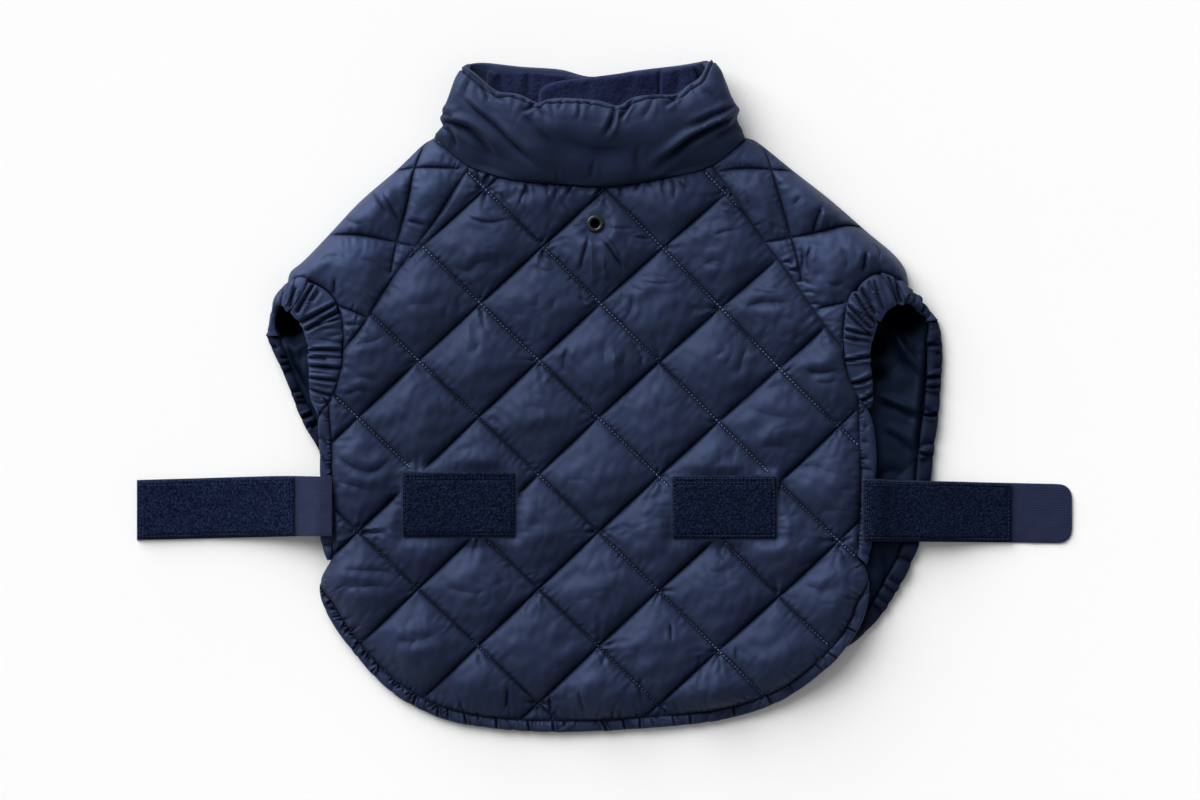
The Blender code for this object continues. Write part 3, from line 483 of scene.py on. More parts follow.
def creases(points, folds):
    """Height that folds add: a narrow trough between soft shoulders, fading at its ends.

    A fold is (route, half width, depth, lean, ends). A lean of 1 puts the whole shoulder to the left of the
    route and -1 to the right. A negative depth makes a ridge.
    """
    height = np.zeros(len(points))
    for near, gap, side, fade, depth, lean in near_folds(points, folds):
        shoulder = (1 + lean * side) * 0.45 * falloff(gap - 2.3, 1.3, 2)
        height[near] += depth * fade * (shoulder - np.exp(-gap ** 1.3))
    return height


def fold_shade(points, folds):
    """How deep in a fold each point lies, from 0 to 1: how much painted shade the fold gets."""
    shade = np.zeros(len(points))
    for near, gap, _, fade, depth, _ in near_folds(points, folds):
        dark = fade * np.clip((depth - 0.0005) / 0.0014, 0, 1) * falloff(gap, 0.7, 1.6)
        shade[near] = np.maximum(shade[near], dark)
    return shade


def shaded(piece, shade):
    """Keeps the shade of each point of a piece, where little light reaches its creases, for its look to paint
    into the colour as painted shade.
    """
    layer = piece.data.attributes.new("crease", "FLOAT", "POINT")
    layer.data.foreach_set("value", np.ascontiguousarray(np.clip(shade, 0, 1), dtype=np.float32))
    return piece


def flat_points(piece):
    """Where each point of a piece lies as seen from above."""
    spots = np.empty(3 * len(piece.data.vertices))
    piece.data.vertices.foreach_get("co", spots)
    return spots.reshape(-1, 3)[:, :2]


# ---- nets of triangles ----

def hexagons(loop, step):
    """Evenly spread points inside an outline."""
    low, high = loop.min(axis=0), loop.max(axis=0)
    rows = np.arange(low[1], high[1], step * math.sqrt(0.75))
    columns = np.arange(low[0], high[0], step)
    spots = np.array([(x + (k % 2) * step / 2, y) for k, y in enumerate(rows) for x in columns])
    return spots[inside(spots, loop)]


def graded(loop, gap, near, far, reach):
    """Spots inside an outline, closer together beside its lines."""
    fine, coarse = hexagons(loop, near), hexagons(loop, far)
    return np.vstack([fine[gap(fine) < reach], coarse[gap(coarse) >= reach + 0.3 * far]])


def flat_tree(points):
    """A search tree of points as seen from above."""
    tree = KDTree(len(points))
    for index, (x, y, *_) in enumerate(points):
        tree.insert((x, y, 0), index)
    tree.balance()
    return tree


def clear_of(spots, taken, room):
    """The spots that aren't right beside a point that is taken."""
    tree = flat_tree(taken)
    return spots[np.array([tree.find((x, y, 0))[2] > room for x, y in spots], bool)]


def beside(lines, gap, offset):
    """Points along both sides of each line, kept off the other lines."""
    rows = np.vstack([line + turn * offset * sideways(line) for line in lines for turn in (1, -1)])
    return rows[gap(rows) > 0.8 * offset]


def sideways(line):
    """The unit vectors to the left of a line in the plane."""
    tangent = unit(np.gradient(line, axis=0))
    return np.stack([-tangent[:, 1], tangent[:, 0]], axis=1)


def net(loop, lines, spots, hole=None, rows=None, room=SPOT_ROOM):
    """A flat net inside an outline, edges along its lines: points, triangles and indexes of the inputs."""
    runs = [(loop, True)] + [(line, False) for line in lines]
    if hole is not None:
        runs.append((hole, True))
    points, edges, starts = [], [], []
    for run, is_closed in runs:
        first = len(points)
        starts.append(first)
        points += [Vector(point) for point in run]
        edges += [(first + i, first + i + 1) for i in range(len(run) - 1)]
        if is_closed:
            edges.append((len(points) - 1, first))
    taken = np.array([(point.x, point.y) for point in points])
    if rows is not None:
        rows = clear_of(rows[inside(rows, loop)], taken, ROW_ROOM)
        taken = np.vstack([taken, rows])
        points += [Vector(point) for point in rows]
    points += [Vector(point) for point in clear_of(spots, taken, room)]
    net_points, _, faces, origins, _, _ = delaunay_2d_cdt(points, edges, [], 0, 1e-7)
    flat = np.array([(point.x, point.y) for point in net_points])
    triangles = np.array([tuple(face) for face in faces])
    middles = flat[triangles].mean(axis=1)
    kept = inside(middles, loop)
    if hole is not None:
        kept &= ~inside(middles, hole)
    triangles = triangles[kept]
    a, b, c = (flat[triangles[:, k]] for k in range(3))
    turned = (b[:, 0] - a[:, 0]) * (c[:, 1] - a[:, 1]) - (b[:, 1] - a[:, 1]) * (c[:, 0] - a[:, 0]) < 0
    triangles[turned] = triangles[turned][:, ::-1]
    place_of = np.zeros(len(points), int)
    for index, sources in enumerate(origins):
        for source in sources:
            place_of[source] = index
    indexes = [place_of[start:start + len(run)] for start, (run, _) in zip(starts, runs)]
    return flat, triangles, indexes


def edges_of(triangles):
    """Each edge once, and for each corner of the triangles the edge that follows it."""
    pairs = np.stack([triangles, np.roll(triangles, -1, axis=1)], axis=2).reshape(-1, 2)
    edges, which = np.unique(np.sort(pairs, axis=1), axis=0, return_inverse=True)
    return edges, which.reshape(-1, 3)


def gather(count, ends, values):
    """Sum of the edges' values at each point."""
    return np.stack([np.bincount(ends, values[:, k], count) for k in range(values.shape[1])], axis=1)


def relax(form, triangles, held, growth, rounds, seed, calm=CALM):
    """Cloth longer than the padding under it: it slides and buckles on the form until its threads fit."""
    edges, _ = edges_of(triangles)
    i, j = edges[:, 0], edges[:, 1]
    own = np.linalg.norm(form[j] - form[i], axis=1) * (1 + growth(form, i, j))
    count = len(form)
    valence = np.maximum(np.bincount(i, minlength=count) + np.bincount(j, minlength=count), 1)[:, None]
    offset = np.zeros_like(form)
    offset[:, 2] = START_HUMPS * noise(form[:, :2], HUMP_SCALE, seed)
    offset[held] = 0
    for _ in range(rounds):
        span = form[j] + offset[j] - form[i] - offset[i]
        length = np.linalg.norm(span, axis=1)
        push = span * (0.8 * (1 - own / length))[:, None] + calm * (offset[j] - offset[i])
        offset += (gather(count, i, push) - gather(count, j, push)) / valence
        offset[:, 2] *= 1 - PADDING_GRIP
        size = np.linalg.norm(offset, axis=1)
        offset *= np.minimum(1, MOST_SLIDE / np.maximum(size, TINY))[:, None]
        offset[held] = 0
    return form + offset


def refine(points, triangles, crease, stitched=None):
    """One step of Loop subdivision. Crease points stay put, and stitched edges are pulled down halfway."""
    edges, which = edges_of(triangles)
    a, b = points[edges[:, 0]], points[edges[:, 1]]
    opposite = np.roll(triangles, 1, axis=1).reshape(-1)
    beyond = gather(len(edges), which.reshape(-1), points[opposite])
    middles = 0.375 * (a + b) + 0.125 * beyond
    straight = crease[edges[:, 0]] & crease[edges[:, 1]]
    middles[straight] = 0.5 * (a + b)[straight]
    if stitched is not None:
        middles[stitched[edges[:, 0]] & stitched[edges[:, 1]], 2] -= STITCH_PULL
    count = len(points)
    valence = np.maximum(np.bincount(edges.reshape(-1), minlength=count), 1)
    around = (gather(count, edges[:, 0], b) + gather(count, edges[:, 1], a)) / valence[:, None]
    smoother = 0.625 * points + 0.375 * around
    smoother[crease] = points[crease]
    mid = count + which
    finer = np.concatenate([np.stack([triangles[:, 0], mid[:, 0], mid[:, 2]], axis=1),
                            np.stack([mid[:, 0], triangles[:, 1], mid[:, 1]], axis=1),
                            np.stack([mid[:, 2], mid[:, 1], triangles[:, 2]], axis=1), mid])
    return np.vstack([smoother, middles]), finer


def mesh_object(name, points, faces, look, angle=None):
    """An object from arrays of points and of faces with three or four corners."""
    faces = np.asarray(faces)
    mesh = bpy.data.meshes.new(name)
    mesh.vertices.add(len(points))
    mesh.vertices.foreach_set("co", np.asarray(points, np.float32).reshape(-1))
    mesh.loops.add(faces.size)
    mesh.loops.foreach_set("vertex_index", faces.astype(np.int32).reshape(-1))
    mesh.polygons.add(len(faces))
    mesh.polygons.foreach_set("loop_start", np.arange(0, faces.size, faces.shape[1], dtype=np.int32))
    mesh.update(calc_edges=True)
    mesh.validate()
    mesh.shade_smooth()
    if angle:
        mesh.set_sharp_from_angle(angle=math.radians(angle))
    mesh.materials.append(look)
    piece = bpy.data.objects.new(name, mesh)
    bpy.context.scene.collection.objects.link(piece)
    return piece


def rim_points(rim, edges, count):
    """The indexes round a rim after a refinement: its points and the new ones halfway between them."""
    halfway = {tuple(edge): count + k for k, edge in enumerate(edges.tolist())}
    pairs = zip(rim.tolist(), np.roll(rim, -1).tolist())
    return np.array([[a, halfway[min(a, b), max(a, b)]] for a, b in pairs]).reshape(-1)


def padded_shell(name, top, under, step, look, hole=False, detail=None, stitched=None):
    """A closed piece from its upper net, which is refined, and a lower surface given as a height.

    The detail is a height too, which is added to the refined net.
    """
    points, triangles, rims, crease = top
    edges, _ = edges_of(triangles)
    rims = [rim_points(rim, edges, len(points)) for rim in ([rims[0], rims[-1]] if hole else [rims[0]])]
    points, triangles = refine(points, triangles, crease, stitched)
    if detail:
        points[:, 2] += detail(points[:, :2])
    outline = points[rims[0]][:, :2]
    opening = points[rims[1]][:, :2] if hole else None
    flat, lower, lower_rims = net(outline, [], hexagons(outline, step), opening, room=0.6 * step)
    faces = [triangles, len(points) + lower[:, ::-1]]
    for above, below, turned in zip(rims, (lower_rims[0], lower_rims[-1]), (False, True)):
        below = below + len(points)
        wall = np.concatenate([np.stack([above, below, np.roll(below, -1)], axis=1),
                               np.stack([above, np.roll(below, -1), np.roll(above, -1)], axis=1)])
        faces.append(wall[:, ::-1] if turned and signed_area(points[above]) > 0 else wall)
    points = np.vstack([points, np.column_stack([flat, under(flat)])])
    return mesh_object(name, points, np.concatenate(faces), look, SHELL_SHARP)


# ---- the two layers ----

@functools.cache
def belly_outline():
    """The outer edge of everything that lies in the belly layer."""
    return joined(curve(BELLY_EDGE, 0.01), curve(BELLY_EDGE_LEFT, 0.01),
                  curve(CUFF_TIPS[:1] + BELLY_SLEEVE_LEFT[1:], 0.01),
                  curve(BELLY_SLEEVE_RIGHT[:-1] + CUFF_TIPS[1:], 0.01))


def back_underside(points):
    """Height of the upper layer's underside: on the belly panel, and down to the table beyond it."""
    beyond = np.where(inside(points, belly_outline()), 0, distance(points, closed(belly_outline())))
    reaches = [np.linalg.norm(points - cuff, axis=1) / SLEEVE_REACH for cuff in place(SLEEVE_CENTRES)]
    lift = SLEEVE_LIFT * sum(np.exp(-reach ** 2) for reach in reaches)
    return BACK_CLEAR * (1 - ease(beyond / DRAPE_RUN)) + lift


def pressed(points, height):
    """The back panel's height, flattened under the pads and round the eyelet."""
    for low, high in pad_boxes(0):
        outside = np.maximum(np.maximum(low - points, points - high), 0)
        share = 1 - ease((np.linalg.norm(outside, axis=1) - PRESSED_CLEAR) / PRESSED_RUN)
        height = height + (PAD_LEVEL - PAD_SUNK - height) * share
    reach = np.linalg.norm(points - spot(EYELET_CENTRE), axis=1)
    share = 1 - ease((reach - EYELET_RADIUS - FLANGE_CLEAR) / EYELET_DIMPLE)
    return height + (EYELET_LEVEL - height) * share


def slip(height):
    """How far the quilting leans to the right at a height on the sheet: more towards the collar."""
    return QUILT_SLIP * np.clip((height - QUILT_SLIP_FROM) / QUILT_SLIP_RUN, 0, 1.3) ** 1.7


def sag(across):
    """How far the quilting sinks at a place across the sheet."""
    return QUILT_SAG * np.clip(across / QUILT_SAG_RUN + 0.10, 0, 1.5) ** 1.5


def quilt(points, crossing):
    """For the falling and the rising lines of the diamonds: distance, direction, way along, line and side."""
    origin = spot(crossing)
    across = (points[:, 0] - slip(points[:, 1]) - origin[0]) / QUILT_PITCH[0]
    along = (points[:, 1] + sag(points[:, 0]) - origin[1]) / QUILT_PITCH[1]
    families = []
    for phase, slope in ((across + along, -1), (across - along, 1)):
        line = np.round(phase / 2)
        gap = np.abs(phase / 2 - line) * QUILT_SPACING
        heading = np.array([QUILT_PITCH[0], slope * QUILT_PITCH[1]]) / QUILT_SIDE
        families.append((gap, heading, points @ heading, line, phase / 2 > line))
    return families


def cushion(share):
    """Profile of the padding: steep at its stitched lines and rounded to the middle."""
    return 0.72 * share ** 0.36 + 0.28 * share ** 0.95


def diamonds(points, crossing):
    """Height of the diamonds' cushions, from 0 on a stitch line to 1 in the middle."""
    falling, rising = (np.sin(math.pi * family[0] / QUILT_SPACING) for family in quilt(points, crossing))
    return cushion(falling * rising)


def puckers(along, gap, seed, pitch=0.0046):
    """Short gathers across a stitch line, uneven along it and fading away from it."""
    strong = ease(0.5 + 0.7 * noise(np.column_stack([along, 0.2 * gap]), 0.035, seed + 1))
    waves = noise(np.column_stack([along, 0.22 * gap]), pitch, seed)
    return np.exp(-gap / PUCKER_REACH) * (0.35 + strong) * waves


def leaning(points):
    """Points of the even quilting, moved to where the coat's quilting slips and sags to."""
    points[:, 0] += slip(points[:, 1])
    points[:, 1] -= sag(points[:, 0])
    return points


def quilt_lines(loop, crossing):
    """The stitch lines of the diamonds inside an outline: for each, its points and whether it rises."""
    origin = spot(crossing)
    share = np.linspace(-9, 9, 2 * round(9 * QUILT_SIDE / LINE_STEP) + 1)
    edge = closed(loop)
    runs = []
    for slope in (1, -1):
        for offset in range(-16, 17, 2):
            even = np.column_stack([share * QUILT_PITCH[0], (offset - slope * share) * QUILT_PITCH[1]])
            line = leaning(origin + even)
            near = inside(line, loop)
            if near.any():
                near[near] = distance(line[near], edge) > SEWN_CLEAR
                runs += [(run, slope < 0) for run in split(line, near)]
    return runs


def quilt_corners(loop, crossing):
    """Where the stitch lines of the diamonds cross inside an outline."""
    steps = np.array([(i, j) for i in range(-10, 11) for j in range(-10, 11) if (i + j) % 2 == 0])
    corners = leaning(spot(crossing) + steps * np.array(QUILT_PITCH))
    return corners[inside(corners, loop)]


def split(line, kept):
    """The stretches of a line whose points are kept."""
    cuts = np.flatnonzero(np.diff(np.concatenate([[0], kept.astype(int), [0]])))
    return [line[start:end] for start, end in zip(cuts[::2], cuts[1::2]) if end - start > 1]


def pad_boxes(margin):
    """Lowest and highest corners of the back's touch-tape pads, moved out."""
    return [(spot((near[0], far[1])) - margin, spot((far[0], near[1])) + margin)
            for near, far in PADS.values()]


def clear_of_pads(runs):
    """Stitch lines broken where a pad or the eyelet covers them."""
    pieces = []
    for run, rising in runs:
        kept = np.linalg.norm(run - spot(EYELET_CENTRE), axis=1) > EYELET_RADIUS + MESH_STEP
        for low, high in pad_boxes(MESH_STEP):
            kept &= ~np.all((run > low) & (run < high), axis=1)
        pieces += [(part, rising) for part in split(run, kept)]
    return pieces


def rectangle(low, high):
    return np.array([low, (high[0], low[1]), high, (low[0], high[1]), low])


def ring(centre, radius, steps):
    turn = np.linspace(0, 2 * math.pi, steps + 1)[:-1]
    return centre + radius * np.stack([np.cos(turn), np.sin(turn)], axis=1)


class Field:
    """What the stitched lines round each point do to the cloth there."""

    def __init__(self, flat):
        self.flat = flat
        self.gap = np.full(len(flat), FAR)
        self.heading = np.zeros((len(flat), 2))
        self.gathers = np.zeros(len(flat))

    def add(self, gap, heading, along, seed, drawn=1.0):
        """Counts a line in, by each point's gap to it and how hard it is drawn up."""
        closer = gap < self.gap
        self.heading[closer] = drawn * (heading[closer] if heading.ndim == 2 else heading)
        self.gap = np.minimum(self.gap, gap)
        self.gathers += drawn ** 2 * puckers(along, gap, seed)

    def add_lines(self, lines, seed):
        for index, line in enumerate(lines):
            gap, heading, reach, _ = nearest(self.flat, line)
            self.add(gap, heading, reach, seed + index)
        return self

    def add_quilt(self, crossing, seed, drawn):
        """Counts in the falling and the rising lines; the gathers differ by line and by side."""
        for (gap, heading, along, line, side), share in zip(quilt(self.flat, crossing), drawn):
            self.add(gap, heading, along + LINE_SHIFT * line + SIDE_SHIFT * side, seed, share)
        return self

    def rumple(self, folds, seed, gathers):
        """Height of what buckles between the lines: folds, fine wrinkles and gathers."""
        folded = creases(self.flat, folds) * ease(self.gap / 0.0012)
        wrinkled = wrinkles(self.flat, seed) * ease(self.gap / 0.009)
        return folded + wrinkled + gathers * self.gathers * ease(self.gap / 0.0028)

    def growth(self, spare=0.010, drawn=0.035):
        """How much longer than its form each thread is: most beside a stitched line, and along it."""
        def share(form, i, j):
            way = unit(form[j, :2] - form[i, :2])
            along = np.abs(np.sum(way * (self.heading[i] + self.heading[j]) / 2, axis=1))
            gap = (self.gap[i] + self.gap[j]) / 2
            return spare + drawn * np.exp(-gap / DRAWN_REACH) * along ** 2
        return share


def panel_net(loop, runs, folds, gap, spacing, frames=(), hole=None):
    """The net of a quilted panel, with edges along its stitched lines, its folds and its frames."""
    drawn = [part for route, *_ in folds
             for part in split(route, inside(route, loop) & (gap(route) > FOLD_CLEAR))]
    rows = np.vstack([beside(runs, gap, 0.0008), beside(drawn, gap, 0.0009)])
    return net(loop, runs + drawn + list(frames), graded(loop, gap, *spacing), hole, rows)


def sewn_shell(name, cloth, runs, under, step, look, detail, hole=False):
    """A quilted panel from its relaxed net, and its stitched lines as they lie on it."""
    points, triangles, rims = cloth
    seams = rims[1:1 + len(runs)]
    top = (points, triangles, rims, marked(points, rims))
    piece = padded_shell(name, top, under, step, look, hole, detail, marked(points, seams))
    return piece, [points[index] for index in seams]


# ---- pieces ----

# Rows of folds: the route in squares (across, down, across, down ...), half width and depth in mm, any lean
BACK_CREASES = [
    ((518, 209, 522, 197, 528, 187), 1.0, 1.3, 0.4), ((509, 209, 503, 198, 503, 191), 0.9, 1.0),
    ((554, 184, 558, 193), 0.8, 1.6), ((561, 202, 567, 209, 573, 216), 1.1, 0.8),
    ((677, 180, 688, 191), 0.9, 1.3), ((675, 185, 674, 202), 1.2, 0.7), ((603, 200, 611, 212), 1.1, 0.7),
    ((463, 212, 473, 219, 488, 223, 503, 221, 518, 219), 1.1, 1.1, 0.4), ((480, 209, 495, 213), 1.2, 0.6),
    ((454, 260, 460, 269, 469, 271, 477, 264, 488, 262, 503, 269), 2.6, 0.9, 0.3),
    ((480, 268, 492, 271, 504, 272), 1.8, 0.4), ((533, 256, 548, 260, 557, 270), 1.8, 0.8),
    ((528, 264, 541, 271, 556, 271), 1.8, 0.7), ((606, 229, 641, 229), 1.0, 0.7),
    ((632, 237, 653, 240), 0.8, 0.9), ((585, 227, 570, 228), 1.0, 0.7),
    ((600, 236, 613, 254, 625, 272), 1.0, 1.8, 0.5), ((603, 233, 617, 250, 625, 265), 0.8, 1.0),
    ((590, 234, 583, 258, 579, 276), 1.0, 1.2), ((592, 240, 592, 262, 593, 286), 2.0, -0.9),
    ((603, 256, 605, 285), 1.2, -0.7), ((686, 227, 700, 234), 1.2, 0.6),
    ((712, 236, 725, 232, 739, 230), 1.2, 0.8), ((718, 203, 731, 207, 740, 215), 1.0, 0.8),
    ((722, 211, 733, 216), 1.0, 0.7), ((699, 267, 715, 261, 730, 268), 2.4, 0.8),
    ((633, 281, 660, 284, 685, 281), 1.4, 0.7), ((634, 277, 655, 277, 680, 280), 1.4, 0.6),
    ((630, 287, 645, 292), 1.4, 0.5), ((629, 294, 632, 305, 626, 320), 1.6, 1.1, 0.3),
    ((621, 292, 623, 305), 1.4, 0.5), ((581, 296, 585, 306), 1.6, 0.6),
    ((447, 305, 446, 313, 443, 322), 1.6, 0.6), ((458, 297, 460, 313), 1.6, 0.6),
    ((404, 306, 425, 304, 442, 307), 2.9, 0.6), ((539, 292, 537, 310), 1.9, 0.5),
    ((556, 296, 552, 313), 1.8, 0.6), ((480, 342, 475, 355), 1.6, 0.6), ((470, 320, 468, 350), 2.2, -0.6),
    ((417, 368, 430, 377), 1.6, 0.6), ((439, 396, 445, 409), 1.8, 0.6), ((484, 412, 499, 407), 1.6, 0.6),
    ((495, 416, 499, 428), 1.6, 0.7), ((539, 407, 563, 412), 2.2, 0.4), ((544, 382, 559, 384), 1.8, 0.5),
    ((569, 344, 564, 362, 565, 377), 1.6, 1.1, 0.4), ((605, 345, 603, 366), 2.2, 0.6),
    ((615, 350, 614, 385), 2.4, -0.7), ((626, 352, 622, 368), 1.8, 0.6),
    ((630, 337, 645, 364), 1.8, 0.7, 0.5), ((642, 355, 641, 369), 1.4, 0.9),
    ((694, 305, 692, 319), 2.1, 0.5), ((715, 357, 728, 348), 1.8, 0.6), ((725, 368, 733, 350), 2.1, 0.6),
    ((746, 347, 741, 362, 738, 378), 1.9, 0.9), ((623, 395, 627, 406), 1.4, 0.6),
    ((655, 392, 662, 410), 2.2, 0.4), ((752, 286, 760, 292, 782, 294), 1.4, 0.9, 0.4),
    ((756, 284, 769, 288, 785, 289), 1.4, 0.6), ((740, 309, 762, 303, 799, 303), 2.4, 1.4, 0.3),
    ((760, 342, 765, 336, 768, 331), 2.2, 0.6), ((791, 342, 801, 333), 2.2, 0.7),
    ((818, 334, 828, 341), 1.6, 0.8), ((803, 345, 816, 342, 836, 352), 2.2, 0.6),
    ((801, 367, 816, 373, 833, 371, 842, 367), 2.4, 1.6, 0.3), ((812, 381, 827, 383, 840, 377), 1.8, 0.9),
    ((762, 387, 790, 387), 2.4, 0.6), ((744, 407, 769, 415, 798, 419), 3.1, 0.8),
    ((756, 448, 775, 446, 797, 449), 2.2, 0.6), ((794, 470, 806, 466, 826, 469), 2.2, 0.9),
    ((838, 489, 858, 489), 2.2, 0.6), ((818, 512, 833, 510, 858, 512), 2.4, 0.7),
    ((349, 346, 375, 341, 388, 332), 1.8, 1.0), ((342, 396, 362, 390, 372, 397), 1.8, 1.1),
    ((355, 376, 383, 381), 1.9, 0.8), ((334, 452, 352, 466, 375, 471, 398, 452), 2.3, 1.2),
    ((336, 481, 360, 487, 376, 492), 2.0, 0.9), ((331, 569, 365, 570, 391, 572, 416, 587), 2.0, 0.9),
    ((338, 589, 372, 585, 400, 589), 2.2, 0.7), ((390, 637, 415, 641, 446, 629), 3.0, 0.9, 0.3),
    ((456, 556, 470, 549, 484, 549, 497, 556), 2.2, 0.7), ((444, 586, 470, 592, 494, 592), 2.0, 0.6),
    ((508, 684, 506, 712), 1.2, 1.6), ((549, 693, 551, 714), 0.9, 1.6), ((578, 690, 584, 712), 1.1, 1.0),
    ((640, 672, 641, 706), 1.2, 1.2), ((670, 621, 672, 643), 1.0, 1.1),
    ((794, 569, 815, 561, 842, 557), 2.2, 0.9), ((800, 584, 815, 588, 829, 595), 2.2, 0.7),
    ((700, 652, 698, 690), 1.3, 1.0), ((735, 645, 737, 665), 1.1, 0.9), ((612, 640, 600, 668), 1.4, 0.8),
    ((498, 566, 501, 590), 2.2, 0.4), ((645, 556, 628, 572), 2.2, 0.4),
    ((716, 520, 722, 545, 719, 565), 1.9, 0.5),
]


def make_back(look):
    """The quilted back panel; also its falling and its rising stitched lines as they lie on it."""
    neck = curve(NECK_SEAM, LINE_STEP, NECK_CORNER_LEFT, NECK_CORNER_RIGHT)
    down = [curve(table) for table in (RAGLAN_RIGHT, CUFF_PANEL_RIGHT, SIDE_SEAM_RIGHT)]
    up = [curve(table)[::-1] for table in (SIDE_SEAM_LEFT, CUFF_PANEL_LEFT, RAGLAN_LEFT)]
    loop = inset(joined(neck, *down, hem_seam(), *up), SEAM_SHOWS / 2)
    edge = closed(loop)
    hole = ring(spot(EYELET_CENTRE), EYELET_BARREL + SEAM_GAP, 12)
    flange = closed(ring(spot(EYELET_CENTRE), EYELET_RADIUS + FLANGE_CLEAR, 18))
    frames = [spaced(rectangle(low, high)) for low, high in pad_boxes(PAD_CLEAR)]
    quilted = clear_of_pads(quilt_lines(loop, QUILT_CROSSING))
    runs = [run for run, _ in quilted]
    hand_folds = folds_of(BACK_CREASES)
    folds = hand_folds + fans(quilt_corners(loop, QUILT_CROSSING), 18)
    folds += tucks([run for run, rising in quilted if not rising], 19, QUILT_TUCKS)
    folds += tucks([hem_seam()], 20, HEM_TUCKS) + tucks([neck], 24, NECK_TUCKS)
    folds += tucks([curve(RAGLAN_LEFT, LINE_STEP), curve(RAGLAN_RIGHT, LINE_STEP)], 22, RAGLAN_TUCKS)

    def gap(points):
        stitched = np.minimum(*(family[0] for family in quilt(points, QUILT_CROSSING)))
        return np.minimum(stitched, distance(points, edge))

    def field_at(points):
        return Field(points).add_quilt(QUILT_CROSSING, 21, QUILT_DRAWN).add_lines([edge, flange] + frames, 31)

    def detail(points):
        return field_at(points).rumple(folds, 7, BACK_GATHERS)

    flat, triangles, rims = panel_net(loop, runs, hand_folds, gap, BACK_SPACING, frames + [flange], hole)
    puff = diamonds(flat, QUILT_CROSSING) * quarter_round(distance(flat, edge) / 0.02) ** 0.8
    loft = BACK_LOFT * (1 + 0.08 * noise(flat, 0.05, 5))
    height = pressed(flat, back_underside(flat) + SEAM_LEVEL + loft * puff)
    held = marked(flat, rims[:1] + rims[-len(frames) - 2:])
    growth = field_at(flat).growth(0.018, 0.05)
    points = relax(np.column_stack([flat, height]), triangles, held, growth, 90, 11, BACK_CALM)
    cloth = points, triangles, rims
    piece, lines = sewn_shell("back_quilt", cloth, runs, back_underside, 0.007, look, detail, True)
    spots = flat_points(piece)
    # Painted shade in the quilting's grooves, beside the rising lines and in the folds
    shaded(piece, np.maximum(quilt_shade(spots, frames), fold_shade(spots, folds)))
    return piece, [[line for line, (_, rising) in zip(lines, quilted) if rising == way]
                   for way in (False, True)]


def quilt_shade(spots, frames):
    """How deep in the back's grooves each point lies, for painted shade; the rising ones get a painted shadow
    on one side.
    """
    falling, rising = quilt(spots, QUILT_CROSSING)
    # How strong that painted shadow is: faint near the collar and deeper towards the hem
    deep = 0.42 + 0.46 * ease((SHALLOW_FROM - spots[:, 1]) / SHALLOW_RUN)
    shadow = deep * falloff(rising[0], SHADOW_REACH, 1.3) * ~rising[4]
    grooves = np.maximum(0.9 * falloff(falling[0], 0.0012), falloff(rising[0], 0.0011))
    grooves = np.maximum(grooves, shadow) * (0.78 + 0.22 * noise(spots, 0.02, 29))
    return grooves * (ease(distance(spots, frames[0]) / 0.002) * ease(distance(spots, frames[1]) / 0.002))


def marked(points, groups):
    """Which points belong to the groups of indexes."""
    marks = np.zeros(len(points), bool)
    marks[np.concatenate(groups)] = True
    return marks


def hem_lines(step):
    """The hem's edge, the stitched line of its binding and the way to the hem's nearer end."""
    line = curve(HEM_EDGE, step)
    travelled = travel(line)
    from_end = np.minimum(travelled, travelled[-1] - travelled)
    width = HEM_BAND_WIDTH * ease((from_end - HEM_PLAIN) / HEM_TAPER)
    return line, line + sideways(line) * width[:, None], from_end


def hem_seam():
    """The panel's lower edge, from the coat's right side seam round to its left."""
    return hem_lines(LINE_STEP)[1][::-1]


SHOULDER_CREASES = {
    "left": [
        ((371, 190, 380, 203, 389, 217), 1.5, 1.6, 0.5), ((381, 190, 392, 208, 402, 229), 1.5, 1.3, 0.5),
        ((406, 221, 417, 223, 429, 227), 1.3, 1.5), ((336, 278, 334, 298), 1.3, 1.6),
        ((345, 214, 352, 222, 366, 226), 1.6, 1.0), ((407, 160, 412, 163), 1.2, 0.7),
        ((360, 259, 372, 262, 381, 270), 1.8, 0.8), ((318, 262, 330, 256, 344, 258), 2.0, 0.9),
        ((344, 324, 354, 325, 365, 325), 1.1, 1.1), ((345, 338, 352, 334), 1.1, 0.8),
    ],
    "right": [
        ((823, 203, 815, 223, 811, 240), 1.6, 1.8, 0.5), ((800, 245, 802, 262, 797, 277), 1.4, 1.7),
        ((811, 245, 806, 262, 809, 277), 1.4, 1.4), ((866, 250, 864, 262, 862, 276), 1.5, 2.0),
        ((872, 243, 878, 251, 879, 262), 1.2, 1.3), ((745, 190, 748, 203, 755, 215), 1.6, 0.9),
        ((800, 197, 793, 207), 1.5, 0.8), ((838, 246, 846, 258, 845, 272), 1.8, 0.9),
        ((770, 222, 776, 232), 1.2, 0.8), ((826, 282, 834, 286, 845, 282), 1.6, 0.9),
        ((781, 263, 789, 262, 795, 266), 0.9, 1.1), ((786, 272, 795, 270, 803, 274), 0.9, 1.1),
        ((794, 283, 803, 281, 812, 286), 0.9, 1.2), ((801, 294, 810, 292, 818, 297), 0.9, 1.0),
        ((809, 305, 817, 304, 823, 308), 0.9, 1.0),
    ],
}


SHOULDERS = {
    # side: fold, raglan seam, cuff's seam, stitched lines and the shade of its copy of the cloth, painted
    # lighter than the back's: painted light
    "left": (FOLD_LEFT, RAGLAN_LEFT, CUFF_SEAM_LEFT, STITCHES_LEFT, 1.3),
    "right": (FOLD_RIGHT, RAGLAN_RIGHT, CUFF_SEAM_RIGHT, STITCHES_RIGHT, 1.1),
}


